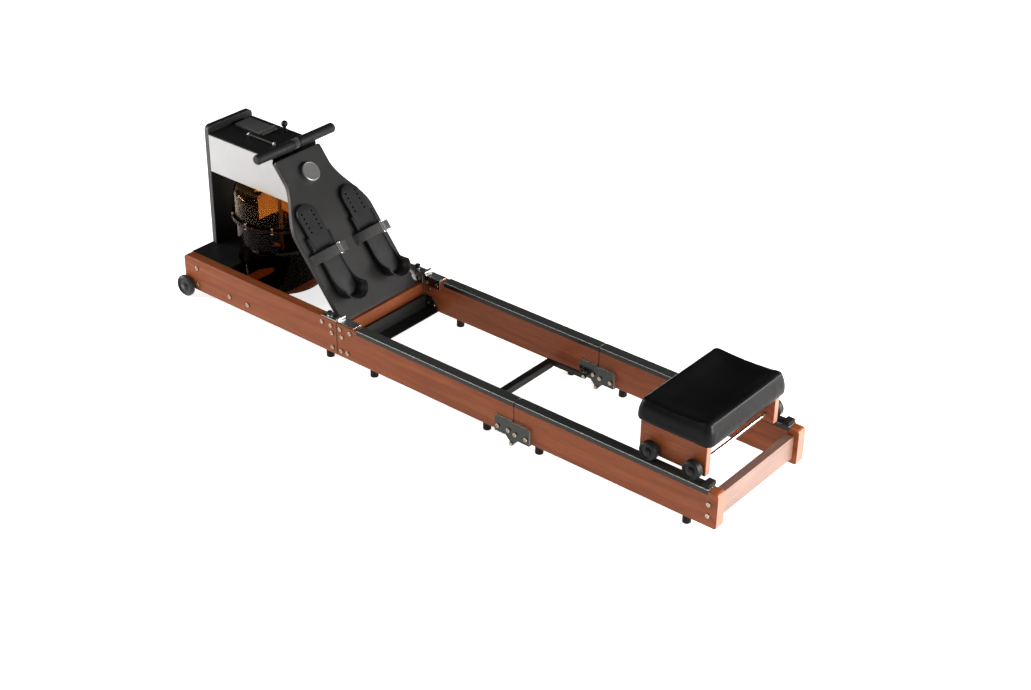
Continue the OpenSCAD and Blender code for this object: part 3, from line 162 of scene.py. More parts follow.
def along(path, side, width, thick, edge):
    """Band: the section (a, b) at point C of the path goes to C + a side + b (tangent x side)."""
    side = np.broadcast_to(np.asarray(side, float), path.shape)
    out = np.cross(heading(path), side)
    a, b = ring(width, thick, edge, 3)
    grid = path[:, None] + a[..., None] * side[:, None] + b[..., None] * out[:, None]
    return grid, stack(running(path)[:, None], a + np.zeros((len(path), 1)))


def tube(path, radius, closed=False):
    """Round wire: C + radius (cos a N + sin a B), with N and B square to the path."""
    tangent = heading(path, closed)
    normal = np.linalg.svd(path - path.mean(0))[2][-1]
    first = np.broadcast_to(normal, path.shape)
    first = first - (first * tangent).sum(1, keepdims=True) * tangent
    first /= np.linalg.norm(first, axis=1, keepdims=True)
    second = np.cross(tangent, first)
    a = np.linspace(0, 2 * math.pi, 12, endpoint=False)[None, :, None]
    return path[:, None] + radius * (np.cos(a) * first[:, None] + np.sin(a) * second[:, None])


def solid(name, grids, finish, body=None, wrap=False, smooth=35, uvs=None):
    """One mesh of closed grids: quads (i, j), (i, j+1), (i+1, j+1), (i+1, j), with a face at each end of
    a grid unless its rows wrap round."""
    points, quads, caps, where, base = [], [], [], [], 0
    for k, grid in enumerate(grids):
        n, m = grid.shape[:2]
        rows = np.arange(n if wrap else n - 1)[:, None]
        j = np.arange(m)[None]
        a, b = rows * m + j, rows * m + (j + 1) % m
        c, d = (rows + 1) % n * m + (j + 1) % m, (rows + 1) % n * m + j
        quads.append(np.stack([a, b, c, d], -1).reshape(-1, 4) + base)
        if not wrap:
            caps += [(base + np.arange(m)[::-1]).tolist(), (base + (n - 1) * m + np.arange(m)).tolist()]
        points.append(grid.reshape(-1, 3))
        if uvs is not None:
            where.append(np.broadcast_to(uvs[k], (n, m, 2)).reshape(-1, 2))
        base += n * m
    mesh = bpy.data.meshes.new(name)
    mesh.from_pydata(np.concatenate(points), [], np.concatenate(quads).tolist() + caps)
    if uvs is not None:
        corner = np.zeros(len(mesh.loops), np.int32)
        mesh.loops.foreach_get("vertex_index", corner)
        mesh.uv_layers.new(name="Weave").data.foreach_set("uv", np.concatenate(where)[corner].ravel())
    piece = bpy.data.objects.new(name, mesh)
    bpy.context.scene.collection.objects.link(piece)
    return finished(piece, finish, body, smooth)


def finished(piece, finish, body=None, smooth=35):
    """Merges doubles, turns faces outwards, smooths all but sharp edges and rides the piece on its body."""
    mesh = bmesh.new()
    mesh.from_mesh(piece.data)
    bmesh.ops.remove_doubles(mesh, verts=mesh.verts, dist=1e-6)
    bmesh.ops.dissolve_degenerate(mesh, edges=mesh.edges, dist=1e-7)
    bmesh.ops.recalc_face_normals(mesh, faces=mesh.faces)
    mesh.to_mesh(piece.data)
    mesh.free()
    piece.data.shade_smooth()
    piece.data.set_sharp_from_angle(angle=math.radians(smooth))
    piece.data.materials.clear()
    piece.data.materials.append(finish)
    if body:
        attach(piece, body)
    return piece


def baked(piece):
    """Turns the piece's modifiers into its mesh."""
    graph = bpy.context.evaluated_depsgraph_get()
    graph.update()
    mesh = bpy.data.meshes.new_from_object(piece.evaluated_get(graph))
    piece.modifiers.clear()
    piece.data = mesh
    return piece


def cut(piece, grids):
    """Takes the closed grids out of the piece."""
    tool = solid("cutter", grids, piece.data.materials[0])
    knife = piece.modifiers.new("Cut", "BOOLEAN")
    knife.object, knife.operation, knife.solver = tool, "DIFFERENCE", "EXACT"
    bpy.context.view_layer.update()
    baked(piece)
    bpy.data.objects.remove(tool)
    return piece


def eased(piece, width, segments):
    """Rounds the piece's sharp edges by width."""
    bevel = piece.modifiers.new("Edges", "BEVEL")
    bevel.width, bevel.segments, bevel.limit_method = width, segments, "ANGLE"
    bevel.angle_limit = math.radians(38)
    bevel.use_clamp_overlap = False
    bevel.harden_normals = True
    return piece


def dressed(node, finish, width=0.0, segments=2):
    """A merged copy of a CAD node with its edges eased, which stands for the node."""
    source = frame["nodes"][node]
    mesh = bmesh.new()
    mesh.from_mesh(source.data)
    bmesh.ops.remove_doubles(mesh, verts=mesh.verts, dist=2e-6)
    bmesh.ops.dissolve_limit(mesh, angle_limit=math.radians(0.6), verts=mesh.verts, edges=mesh.edges)
    data = bpy.data.meshes.new(node + "_finish")
    mesh.to_mesh(data)
    mesh.free()
    piece = bpy.data.objects.new(node + "_finish", data)
    bpy.context.scene.collection.objects.link(piece)
    data.shade_smooth()
    data.set_sharp_from_angle(angle=math.radians(32))
    data.materials.append(finish)
    if width:
        eased(piece, width, segments)
    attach(piece, source["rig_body"])
    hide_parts(node)
    return piece


# Finishes


SLOTS = {s["node"]: s["material_slot"] for s in frame["record"]["subparts"]}


class Mix:
    """A node material in the making. Each method adds nodes and gives back the socket of its result."""

    def __init__(self, name, **fixed):
        self.material = bpy.data.materials.new(name)
        self.material.use_nodes = True
        self.tree = self.material.node_tree
        self.shader = self.tree.nodes["Principled BSDF"]
        for socket, value in fixed.items():
            self.shader.inputs[socket.replace("_", " ")].default_value = value

    def add(self, kind, wires=None, **settings):
        made = self.tree.nodes.new("ShaderNode" + kind)
        for key, value in settings.items():
            setattr(made, key, value)
        for key, value in (wires or {}).items():
            if isinstance(value, bpy.types.NodeSocket):
                self.tree.links.new(value, made.inputs[key])
            else:
                made.inputs[key].default_value = value
        return made

    def place(self, scale=(1, 1, 1), shift=(0, 0, 0), uv=None):
        if uv:
            source = self.add("UVMap", uv_map=uv).outputs["UV"]
        else:
            source = self.add("TexCoord").outputs["Object"]
        wires = {"Vector": source, "Scale": scale, "Location": shift}
        return self.add("Mapping", wires).outputs["Vector"]

    def noise(self, where, scale=1.0, detail=4.0, rough=0.55, twist=0.0):
        wires = {"Vector": where, "Scale": scale, "Detail": detail, "Roughness": rough, "Distortion": twist}
        return self.add("TexNoise", wires).outputs["Fac"]

    def ramp(self, value, *stops):
        made = self.add("ValToRGB", {"Fac": value})
        band = made.color_ramp
        while len(band.elements) < len(stops):
            band.elements.new(0.5)
        for element, (at, colour) in zip(band.elements, stops):
            element.position, element.color = at, (*colour, 1)
        return made.outputs["Color"]

    def span(self, value, low, high, start=0.3, end=0.7):
        wires = {"Value": value, "From Min": start, "From Max": end, "To Min": low, "To Max": high}
        return self.add("MapRange", wires).outputs["Result"]

    def gloss(self, where, scale, low, high):
        """Roughness that drifts between low and high in patches."""
        return self.span(self.noise(where, scale=scale, detail=4), low, high)

    def math(self, operation, a, b=0.0):
        return self.add("Math", {0: a, 1: b}, operation=operation).outputs["Value"]

    def blend(self, amount, a, b, how="MIX"):
        made = self.add("Mix", data_type="RGBA", blend_type=how)
        for key, value in ((0, amount), (6, a), (7, b)):
            if isinstance(value, bpy.types.NodeSocket):
                self.tree.links.new(value, made.inputs[key])
            else:
                made.inputs[key].default_value = value if key == 0 else (*value, 1)
        return made.outputs[2]

    def bump(self, height, depth, strength=1.0, under=None):
        wires = {"Height": height, "Distance": depth, "Strength": strength}
        if under is not None:
            wires["Normal"] = under
        return self.add("Bump", wires).outputs["Normal"]

    def wire(self, **sockets):
        for socket, value in sockets.items():
            self.tree.links.new(value, self.shader.inputs[socket.replace("_", " ")])
        return self.material


def shade(colour, factor):
    return tuple(min(1.0, c * factor) for c in colour[:3])


def timber(colours, name, lengthways, tone=(1, 1, 1), gloss=0.1):
    """Satin lacquered timber, its grain along one axis: broad figure, fine streaks and pores, with the faces
    across the grain blended paler as painted glare.
    """
    m = Mix(name, Specular_IOR_Level=0.09, Coat_Weight=gloss, Coat_Roughness=0.34)
    grain = [1.0, 1.0, 1.0]
    grain[lengthways] = 0.06
    fine = [6.0 * g if i != lengthways else 0.35 for i, g in enumerate(grain)]
    figure = m.noise(m.place(scale=grain), scale=34, detail=5, rough=0.6, twist=0.8)
    streak = m.noise(m.place(scale=fine), scale=42, detail=4, rough=0.6)
    pores = m.noise(m.place(scale=[f * 2.2 for f in fine]), scale=95, detail=2)
    light = [c * t for c, t in zip(colours.timber_light, tone)]
    dark = [c * t for c, t in zip(colours.timber_dark, tone)]
    between = [(a + b) / 2 for a, b in zip(light, dark)]
    base = m.ramp(figure, (0.28, dark), (0.5, between), (0.72, light))
    base = m.blend(m.span(streak, 0.0, 0.5), base, shade(dark, 0.8))
    base = m.blend(m.span(pores, 0.22, 0.0, 0.34, 0.46), base, shade(dark, 0.45))
    # Painted glare: faces that look along the grain are blended towards a pale pink, which stands in for strong
    # light on the ends.
    painted_glare_on_ends = m.add("SeparateXYZ", {"Vector": m.add("TexCoord").outputs["Normal"]}).outputs[lengthways]
    base = m.blend(m.span(m.math("ABSOLUTE", painted_glare_on_ends), 0.0, 0.55, 0.6, 0.9), base, (0.25, 0.165, 0.135))
    relief = m.bump(streak, 0.00025, 0.35, m.bump(pores, 0.0001, 0.4))
    return m.wire(Base_Color=base, Roughness=m.span(streak, 0.3, 0.46), Normal=relief)


def coated(name, colour, rough=(0.38, 0.52), scale=850, depth=0.00008, metal=0.0, spread=0.18, **fixed):
    """Powder coat or moulded plastic: fine orange-peel relief with a slow change of tone and gloss."""
    m = Mix(name, **{"Metallic": metal, "Specular_IOR_Level": 0.18, **fixed})
    where = m.place()
    peel = m.noise(where, scale=scale, detail=2)
    cloud = m.noise(where, scale=9, detail=3)
    base = m.ramp(cloud, (0.3, shade(colour, 1 - spread)), (0.7, shade(colour, 1 + spread)))
    return m.wire(Base_Color=base, Roughness=m.gloss(where, 26, *rough), Normal=m.bump(peel, depth, 0.6))


def two_tone(name, face, edge, axis, low, high, rough, metal=0.0, normal=False, corner=None, **fixed):
    """Finish in two tones by height, or by the way a face looks: edge below low along one axis, face above
    high, and where a corner tone is given, that one between them as a painted highlight."""
    m = Mix(name, Metallic=metal, **fixed)
    where = m.place()
    source = m.add("TexCoord").outputs["Normal"] if normal else where
    part = m.math("ABSOLUTE", m.add("SeparateXYZ", {"Vector": source}).outputs["XYZ".index(axis)])
    grain = m.noise(m.place(scale=(0.5, 8, 8)), scale=120, detail=4)
    base = m.blend(m.span(part, 0.0, 1.0, low, high), edge, face)
    # A corner tone is a painted highlight between the edge and the face tones.
    if corner:
        stops = (0.0, edge), (0.3, edge), (0.34, corner), (0.74, corner), (0.8, face)
        base = m.ramp(m.span(part, 0.0, 1.0, low, high), *stops)
    base = m.blend(m.span(grain, 0.0, 0.35), base, shade(face, 0.4))
    return m.wire(Base_Color=base, Roughness=m.gloss(where, 30, *rough), Normal=m.bump(grain, 0.00005, 0.4))


def metal(name, colour, rough=(0.2, 0.36), stretch=(1, 14, 14), scale=60):
    """Plated steel with fine drawn lines and small changes of gloss."""
    m = Mix(name, Metallic=1.0)
    lines = m.noise(m.place(scale=stretch), scale=scale, detail=5)
    base = m.ramp(lines, (0.3, shade(colour, 0.82)), (0.7, shade(colour, 1.1)))
    gloss = m.gloss(m.place(), 45, *rough)
    return m.wire(Base_Color=base, Roughness=gloss, Normal=m.bump(lines, 0.00004, 0.5))


def rubber(name, colour, rough=(0.62, 0.8), scale=620):
    """Matt rubber with a fine grain and worn, dusty patches."""
    m = Mix(name, Specular_IOR_Level=0.16)
    where = m.place()
    grain = m.noise(where, scale=scale, detail=3)
    dust = m.noise(where, scale=22, detail=5, rough=0.65)
    base = m.ramp(dust, (0.35, shade(colour, 0.8)), (0.62, colour), (0.8, shade(colour, 1.6)))
    return m.wire(Base_Color=base, Roughness=m.span(dust, *rough), Normal=m.bump(grain, 0.00012, 0.5))


def glassy(name, colour):
    """Clear tinted plastic: light passes through, and faint ripples and moulding haze stay in its gloss."""
    m = Mix(name, Transmission_Weight=1.0, IOR=1.1)
    where = m.place()
    flow = m.noise(where, scale=14, detail=2)
    base = m.ramp(flow, (0.3, shade(colour, 0.94)), (0.7, shade(colour, 1.04)))
    haze = m.gloss(where, 60, 0.02, 0.07)
    return m.wire(Base_Color=base, Roughness=haze, Normal=m.bump(flow, 0.0006, 0.12))


def leather(name, colour):
    """Smooth grained leather: rounded cells of about a millimetre, soft creases and a change of gloss."""
    m = Mix(name, Specular_IOR_Level=0.08)
    where = m.place()
    pattern = m.add("TexVoronoi", {"Vector": where, "Scale": 640.0, "Randomness": 0.9}, feature="SMOOTH_F1")
    fold = m.noise(where, scale=38, detail=4, rough=0.5, twist=0.4)
    cloud = m.noise(where, scale=7, detail=3)
    base = m.ramp(cloud, (0.3, shade(colour, 0.8)), (0.7, shade(colour, 1.25)))
    relief = m.bump(pattern.outputs["Distance"], 0.00016, 0.45, m.bump(fold, 0.0008, 0.22))
    return m.wire(Base_Color=base, Roughness=m.span(cloud, 0.26, 0.38), Normal=relief)


def webbing(name, colour, pitch=0.0016):
    """Woven band on its own UV map, in metres: diagonal ribs crossed by the weft, with faded yarns."""
    m = Mix(name, Specular_IOR_Level=0.3, Sheen_Weight=0.25, Sheen_Roughness=0.4)
    parts = m.add("SeparateXYZ", {"Vector": m.place(uv="Weave")})
    u, v = parts.outputs["X"], parts.outputs["Y"]
    turn = 2 * math.pi / pitch
    warp = m.math("SINE", m.math("MULTIPLY", v, turn))
    weft = m.math("SINE", m.math("ADD", m.math("MULTIPLY", u, turn * 0.8), m.math("MULTIPLY", v, turn * 0.5)))
    weave = m.math("ADD", m.math("MULTIPLY", warp, 0.5), m.math("MULTIPLY", weft, 0.5))
    fade = m.noise(m.place(), scale=60, detail=4)
    height = m.span(weave, 0.0, 1.0, -1, 1)
    base = m.ramp(height, (0.1, shade(colour, 0.55)), (0.6, colour), (1.0, shade(colour, 1.35)))
    base = m.blend(m.span(fade, 0.0, 0.3), base, shade(colour, 1.5))
    return m.wire(Base_Color=base, Roughness=m.span(fade, 0.68, 0.85), Normal=m.bump(weave, 0.0003, 0.8))


def turned_face(name, colour, middle, axis):
    """Metal turned on a lathe: fine rings round the axis through middle."""
    m = Mix(name, Metallic=0.85)
    where = m.place(shift=[-c for c in middle])
    normal = Vector(axis).normalized()
    height = m.add("VectorMath", {0: where, 1: normal}, operation="DOT_PRODUCT").outputs["Value"]
    rise = m.add("VectorMath", {0: normal, "Scale": height}, operation="SCALE").outputs["Vector"]
    flat = m.add("VectorMath", {0: where, 1: rise}, operation="SUBTRACT").outputs["Vector"]
    radius = m.add("VectorMath", {0: flat}, operation="LENGTH").outputs["Value"]
    rings = m.noise(m.add("CombineXYZ", {"X": radius}).outputs["Vector"], scale=900, detail=4)
    base = m.ramp(rings, (0.3, shade(colour, 0.85)), (0.7, shade(colour, 1.12)))
    return m.wire(Base_Color=base, Roughness=m.span(rings, 0.25, 0.4), Normal=m.bump(rings, 0.00003, 0.4))


FINISH = {}


def finishes(colours):
    """Makes every finish once, by name."""
    if FINISH:
        return FINISH
    tint = {name: tuple(getattr(colours, name)[:3]) for name in RowerColours.__annotations__}
    black = tint["steel_black"]
    FINISH.update(
        timber_long=timber(colours, "Timber along the rails", 0),
        # A shaded copy of the timber, darker by its tone: painted shade on the crossbar under the foot panel
        # and on the seat base.
        timber_cross=timber(colours, "Timber across the frame", 1, (0.7, 0.7, 0.7)),
        # A lit copy of the timber: its tone makes it paler and pinker as painted glare from strong light on the
        # rear crossbar.
        timber_pale=timber(colours, "Pale timber of the rear crossbar", 1, (0.77, 1.55, 3.4), 0.8),
        black_steel=coated("Black powder coat", black),
        cover=coated("Black top cover", shade(black, 1.8), (0.34, 0.5), 700),
        silver=coated(
            "Silver lacquer", tint["panel_silver"], (0.34, 0.46), 1600, 0.00002, 0.2, 0.04,
            Coat_Weight=0.15, Specular_IOR_Level=0.5,
        ),
        panel=coated(
            "Grained grey panel", tint["panel_grey"], (0.45, 0.58), 1300, 0.00014, 0.0, 0.1,
            Specular_IOR_Level=0.2,
        ),
        rest=coated("Moulded foot rest", tint["rest_grey"], (0.42, 0.56), 1100, 0.0001, 0.0, 0.12),
        plastic=coated("Black moulded plastic", (0.006, 0.006, 0.0065), (0.32, 0.46), 900, 0.00006),
        plate=coated("Dark satin plate", (0.08, 0.08, 0.081), (0.3, 0.42), 1200, 0.00005),
        # Track: lighter on top than on its near black sides; the pale corner tone along the rounded top edges
        # is a painted highlight.
        track=two_tone(
            "Track with a worn running face", (0.03, 0.033, 0.031), (0.0025, 0.0025, 0.0027), "Z",
            0.1374, 0.1388, (0.26, 0.4), corner=(0.9, 0.9, 0.88), Specular_IOR_Level=0.3,
        ),
        # Mast: faces that look along y, its thin side edges, get a lighter grey as a painted sheen; the rest is
        # black powder coat.
        mast=two_tone(
            "Mast with paler edges", (0.045, 0.045, 0.047), black, "Y", 0.5, 0.8, (0.38, 0.52), normal=True,
            Specular_IOR_Level=0.18,
        ),
        fold_plate=two_tone(
            "Blackened fold plates", (0.055, 0.06, 0.056), (0.72, 0.73, 0.72), "Y", 0.5, 0.8, (0.24, 0.38),
            metal=1.0, normal=True,
        ),
        pale=coated("Polished rod tips", (0.8, 0.8, 0.8), (0.1, 0.2), 900, 0.00002, 0.3),
        steel=metal("Zinc plated steel", (0.55, 0.55, 0.56)),
        bolt=metal("Browned bolts", (0.36, 0.3, 0.24), (0.16, 0.3)),
        bright=metal("Bright fittings", (0.8, 0.8, 0.8), (0.14, 0.26)),
        plating=metal("Satin hinge plates", (0.4, 0.41, 0.4), (0.24, 0.4), (3, 16, 3), 50),
        rubber=rubber("Black rubber", (0.006, 0.006, 0.006)),
        tyre=rubber("Wheel rubber", (0.028, 0.028, 0.03), (0.36, 0.55)),
        roller=rubber("Roller rubber", (0.006, 0.006, 0.0065), (0.32, 0.5)),
        grip=rubber("Handle grip", (0.006, 0.006, 0.0065), (0.5, 0.68), 480),
        lid=glassy("Amber lid", tint["tank_lid"]),
        bowl=glassy("Amber bowl", tint["tank_bowl"]),
        leather=leather("Black leather", tint["leather"]),
        strap=webbing("Foot strap webbing", tint["strap_grey"]),
        belt=webbing("Pull strap webbing", (0.007, 0.007, 0.007), 0.0018),
    )
    return FINISH


# Values that a user may change


def colour_value(name, description, default):
    return bpy.props.FloatVectorProperty(
        name=name, description=description, default=default, size=3, min=0, max=1, subtype="COLOR"
    )


def length_value(name, description, default):
    return bpy.props.FloatProperty(
        name=name, description=description, default=default, min=0, subtype="DISTANCE", unit="LENGTH"
    )


class RowerColours(bpy.types.PropertyGroup):
    """Colours of the machine's finishes."""

    timber_light: colour_value("Light timber", "Lighter colour of the wood figure", (0.26, 0.074, 0.025))
    timber_dark: colour_value("Dark timber", "Darker colour of the wood figure", (0.148, 0.037, 0.012))
    steel_black: colour_value("Black steel", "Powder coat of mast, deck and trays", (0.0055, 0.0058, 0.0058))
    panel_silver: colour_value("Silver panel", "Lacquer of the drive housing", (0.31, 0.31, 0.315))
    panel_grey: colour_value("Foot panel", "Grained foot panel", (0.0135, 0.0133, 0.0135))
    rest_grey: colour_value("Foot rest", "Moulded foot rests", (0.0065, 0.0065, 0.0068))
    strap_grey: colour_value("Foot strap", "Webbing of the foot straps", (0.017, 0.0167, 0.017))
    tank_lid: colour_value("Tank lid", "Tint of the clear lid", (0.76, 0.53, 0.22))
    tank_bowl: colour_value("Tank bowl", "Tint of the clear bowl", (0.24, 0.09, 0.025))
    leather: colour_value("Seat leather", "Leather of the seat", (0.004, 0.004, 0.0042))


class RowerSizes(bpy.types.PropertyGroup):
    """Sizes of the pieces that are made here."""

    board_angle: bpy.props.FloatProperty(
        name="Panel angle", description="Slope of the foot panel", default=math.radians(50.8),
        subtype="ANGLE", unit="ROTATION",
    )
    board_x: length_value("Panel top, distance", "From the rails' front end to the panel's top edge", 0.313)
    board_z: length_value("Panel top, height", "Height of the panel's top edge", 0.506)
    board_length: length_value("Panel length", "Length down the slope", 0.517)
    board_thickness: length_value("Panel thickness", "Thickness of the foot panel", 0.018)
    board_top_width: length_value("Panel top width", "Width at the top", 0.185)
    board_low_width: length_value("Panel foot width", "Width at the foot", 0.322)
    rest_side: length_value("Foot rest from the middle", "Distance of each foot rest from the middle", 0.093)
    rest_half: length_value("Foot rest half width", "Half width of a foot rest", 0.038)
    heel_height: length_value("Heel height", "Height of the heel cup's wall", 0.04)
    strap_width: length_value("Foot strap width", "Width of a foot strap", 0.03)
    strap_height: length_value("Foot strap height", "Height of a foot strap's arch", 0.044)
    belt_width: length_value("Pull strap width", "Width of the pull strap", 0.02)
    edge: length_value("Eased edges", "Rounding of sheet metal edges", 0.0008)
    seat_length: length_value("Seat length", "Length of the seat from front to rear", 0.237)
    seat_width: length_value("Seat width", "Width of the seat across the rails", 0.3685)
    seat_thickness: length_value("Seat thickness", "Height of the seat's padding", 0.0675)
    seat_dip: length_value("Seat hollow", "Depth of the saddle hollow", 0.0175)
    seat_swell: length_value("Seat swell", "Most that the seat's padding may swell", 0.0015)


class Board:
    """The foot panel's own frame: t down the slope, y across, n out of its face."""

    def __init__(self, sizes):
        c, s = math.cos(sizes.board_angle), math.sin(sizes.board_angle)
        self.origin = np.array([FRONT + sizes.board_x, 0, sizes.board_z])
        self.down, self.across, self.out = np.array([c, 0, -s]), np.array([0, 1.0, 0]), np.array([s, 0, c])

    def __call__(self, points):
        t, y, n = np.split(np.asarray(points, float), 3, axis=-1)
        return self.origin + t * self.down + y * self.across + n * self.out


def values(context):
    scene = context.scene
    return scene.rower_sizes, finishes(scene.rower_colours)


def settled(piece, slot, *nodes):
    """Takes the piece's material slot, which is not used, and hides the CAD nodes that the piece stands for."""
    if nodes:
        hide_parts(*nodes)
    return piece


# Operators


class ROWER_OT_stage(bpy.types.Operator):
    """Pale floor, soft studio light and the camera"""

    bl_idname = "rower.stage"
    bl_label = "Stage"

    def execute(self, context):
        scene = context.scene
        turn, lift, roll = math.radians(38.82), math.radians(30.72), math.radians(0.93)
        back = np.array([math.sin(turn) * math.cos(lift), -math.cos(turn) * math.cos(lift), math.sin(lift)])
        right = np.array([math.cos(turn), math.sin(turn), 0])
        up = np.cross(back, right)
        c, s = math.cos(roll), math.sin(roll)
        right, up = c * right + s * up, c * up - s * right
        target, distance = np.array([0.0313, 0.1783, 0.026]), 5.462
        place = target + distance * back
        data = bpy.data.cameras.new("Camera")
        data.lens, data.sensor_width, data.sensor_fit = 63.77, 36, "HORIZONTAL"
        data.clip_start, data.clip_end = 0.1, 100
        camera = bpy.data.objects.new("Camera", data)
        rows = np.column_stack([right, up, back, place]).tolist()
        camera.matrix_world = Matrix([*rows, [0, 0, 0, 1]])
        scene.collection.objects.link(camera)
        scene.camera = camera

        for name, at, aim, size, power, tint in (
            ("Key", (3.3, 2.3, 1.1), (0.4, 0, 0.15), (2.2, 1.3), 190, (1, 0.98, 0.96)),
            ("Side", (4.2, 0.2, 1.0), (0.6, 0, 0.1), (1.6, 1.2), 310, (1, 0.97, 0.94)),
            ("Left", (-3.2, -1.5, 0.8), (-0.8, 0, 0.2), (1.6, 1.1), 105, (1, 0.97, 0.95)),
            ("Front", (-2.5, -2.4, 3.1), (0, 0, 0.1), (1.3, 0.9), 42, (1, 0.93, 0.84)),
        ):
            light = bpy.data.lights.new(name, "AREA")
            light.shape, light.size, light.size_y = "RECTANGLE", *size
            light.energy, light.color = power, tint
            lamp = bpy.data.objects.new(name, light)
            lamp.location = at
            lamp.rotation_euler = (Vector(aim) - Vector(at)).to_track_quat("-Z", "Y").to_euler()
            scene.collection.objects.link(lamp)

        world = bpy.data.worlds.new("Studio")
        world.use_nodes = True
        tree = world.node_tree
        aim = tree.nodes.new("ShaderNodeVectorMath")
        aim.operation = "DOT_PRODUCT"
        aim.inputs[1].default_value = Vector((-0.58, 0.72, 0.38)).normalized()
        fade = tree.nodes.new("ShaderNodeMapRange")
        fade.interpolation_type = "SMOOTHSTEP"
        for socket, value in (("From Min", -0.2), ("From Max", 0.8), ("To Min", 0.42), ("To Max", 0.05)):
            fade.inputs[socket].default_value = value
        tree.links.new(tree.nodes.new("ShaderNodeTexCoord").outputs["Generated"], aim.inputs[0])
        tree.links.new(aim.outputs["Value"], fade.inputs["Value"])
        tree.links.new(fade.outputs["Result"], tree.nodes["Background"].inputs["Strength"])
        tree.nodes["Background"].inputs["Color"].default_value = (1, 1, 1, 1)
        scene.world = world
        scene.view_settings.view_transform = "Standard"

        m = Mix("Pale floor", Specular_IOR_Level=0.05, Emission_Color=(1, 1, 1, 1), Emission_Strength=0.75)
        tone = m.ramp(m.noise(m.place(), scale=3), (0.3, (0.93, 0.93, 0.93)), (0.7, (0.95, 0.95, 0.95)))
        side = np.linspace(-30, 30, 5)
        x, y = np.meshgrid(side, side, indexing="ij")
        grid = np.stack([x, y, 0 * x - 0.0005], -1).reshape(-1, 3)
        i, j = np.meshgrid(np.arange(4), np.arange(4), indexing="ij")
        first = i * len(side) + j
        second = first + len(side)
        quads = np.stack([first, second, second + 1, first + 1], -1).reshape(-1, 4)
        mesh = bpy.data.meshes.new("Floor")
        mesh.from_pydata(grid, [], quads.tolist())
        rough = m.span(m.noise(m.place(), scale=5), 0.8, 0.9)
        mesh.materials.append(m.wire(Base_Color=tone, Roughness=rough))
        floor = bpy.data.objects.new("Floor", mesh)
        scene.collection.objects.link(floor)
        return {"FINISHED"}


class ROWER_OT_timber(bpy.types.Operator):
    """Lacquered rails, crossbars and seat boards"""

    bl_idname = "rower.timber"
    bl_label = "Timber"

    def execute(self, context):
        finish = values(context)[1]
        for section in ("front", "mid", "rear"):
            for side in ("left", "right"):
                dressed(f"{section}_rail_{side}", finish["timber_long"], 0.0012)
        dressed("seat_side_plates", finish["timber_long"], 0.002, 3)
        # The rear crossbar takes the lit copy of the timber, whose paler colour is painted glare.
        cross, pale = finish["timber_cross"], finish["timber_pale"]
        # The crossbar under the foot panel and the seat base take the darkened copy, whose darker colour is
        # painted shade.
        for node, tone in (("foot_crossbar", cross), ("rear_crossbar", pale), ("seat_base", cross)):
            dressed(node, tone, 0.0022, 3)
        return {"FINISHED"}


class ROWER_OT_metalwork(bpy.types.Operator):
    """Coated deck, mast, trays and release bar, plated hinges, bolts and axles, rubber feet"""

    bl_idname = "rower.metalwork"
    bl_label = "Metalwork"

    def execute(self, context):
        sizes, finish = values(context)
        dressed("mast_panel", finish["mast"], 0.0025, 3)
        for tone, width, nodes in (
            ("black_steel", sizes.edge, ("front_deck", "tank_cradle", "cross_tray", "release_bar")),
            ("plating", 0.0005, ("front_hinge_leaves",)),
            ("fold_plate", 0.0008, ("mid_hinge_plates", "rear_pivot_plates")),
            ("bolt", 0.0007, ("front_bolts", "mid_bolts", "rear_bolts")),
            ("plate", 0.0007, ("wheel_axles",)),
            ("steel", 0.0007, ("seat_axles",)),
            ("steel", 0.0004, ("drive_bearings", "paddle_shaft")),
            ("rubber", 0.0008, ("front_feet", "mid_feet", "rear_feet", "tank_seal")),
            ("track", 0.0013, ("mid_tracks", "rear_tracks")),
            ("plastic", 0.001, ("lock_pin_left", "lock_pin_right")),
        ):
            for node in nodes:
                dressed(node, finish[tone], width)
        block, x, y, z = (0.023, 0.035, 0.012), FRONT + 1.9565, 0.1895, 0.145
        blocks = [slab(block, (x, side * y, z), 0.004, 0.003) for side in (-1, 1)]
        piece = solid("end_stop_blocks", blocks, finish["rubber"], "rear_section")
        settled(piece, SLOTS["end_stops"], "end_stops")
        return {"FINISHED"}


class ROWER_OT_housing(bpy.types.Operator):
    """Silver drive housing, top cover, phone rest with its clamp knob, and the drive inside"""

    bl_idname = "rower.housing"
    bl_label = "Housing"

    def execute(self, context):
        sizes, finish = values(context)
        dressed("drive_housing", finish["silver"], sizes.edge)
        dressed("top_cover", finish["cover"], 0.0006)
        rod_ends, rod_y, rod_z = (0.126, 0.234), -0.02, 0.516
        tip = fillet([(0, -0.002), (0.0055, -0.002, 0.001), (0.0055, 0.002, 0.001), (0, 0.002)], 4)
        tips = [lathe(tip, (FRONT + x, rod_y, rod_z), axis=0, segments=28) for x in rod_ends]
        settled(solid("stop_rod_tips", tips, finish["pale"], "front_frame", wrap=True), "steel")
        dressed("phone_rest", finish["plate"], 0.001)
        dressed("clamp_knob", finish["plastic"], 0.0004)
        for node in ("drive_spool", "guide_roller", "paddle_wheel", "fill_cap"):
            dressed(node, finish["plastic"], 0.0005)
        return {"FINISHED"}


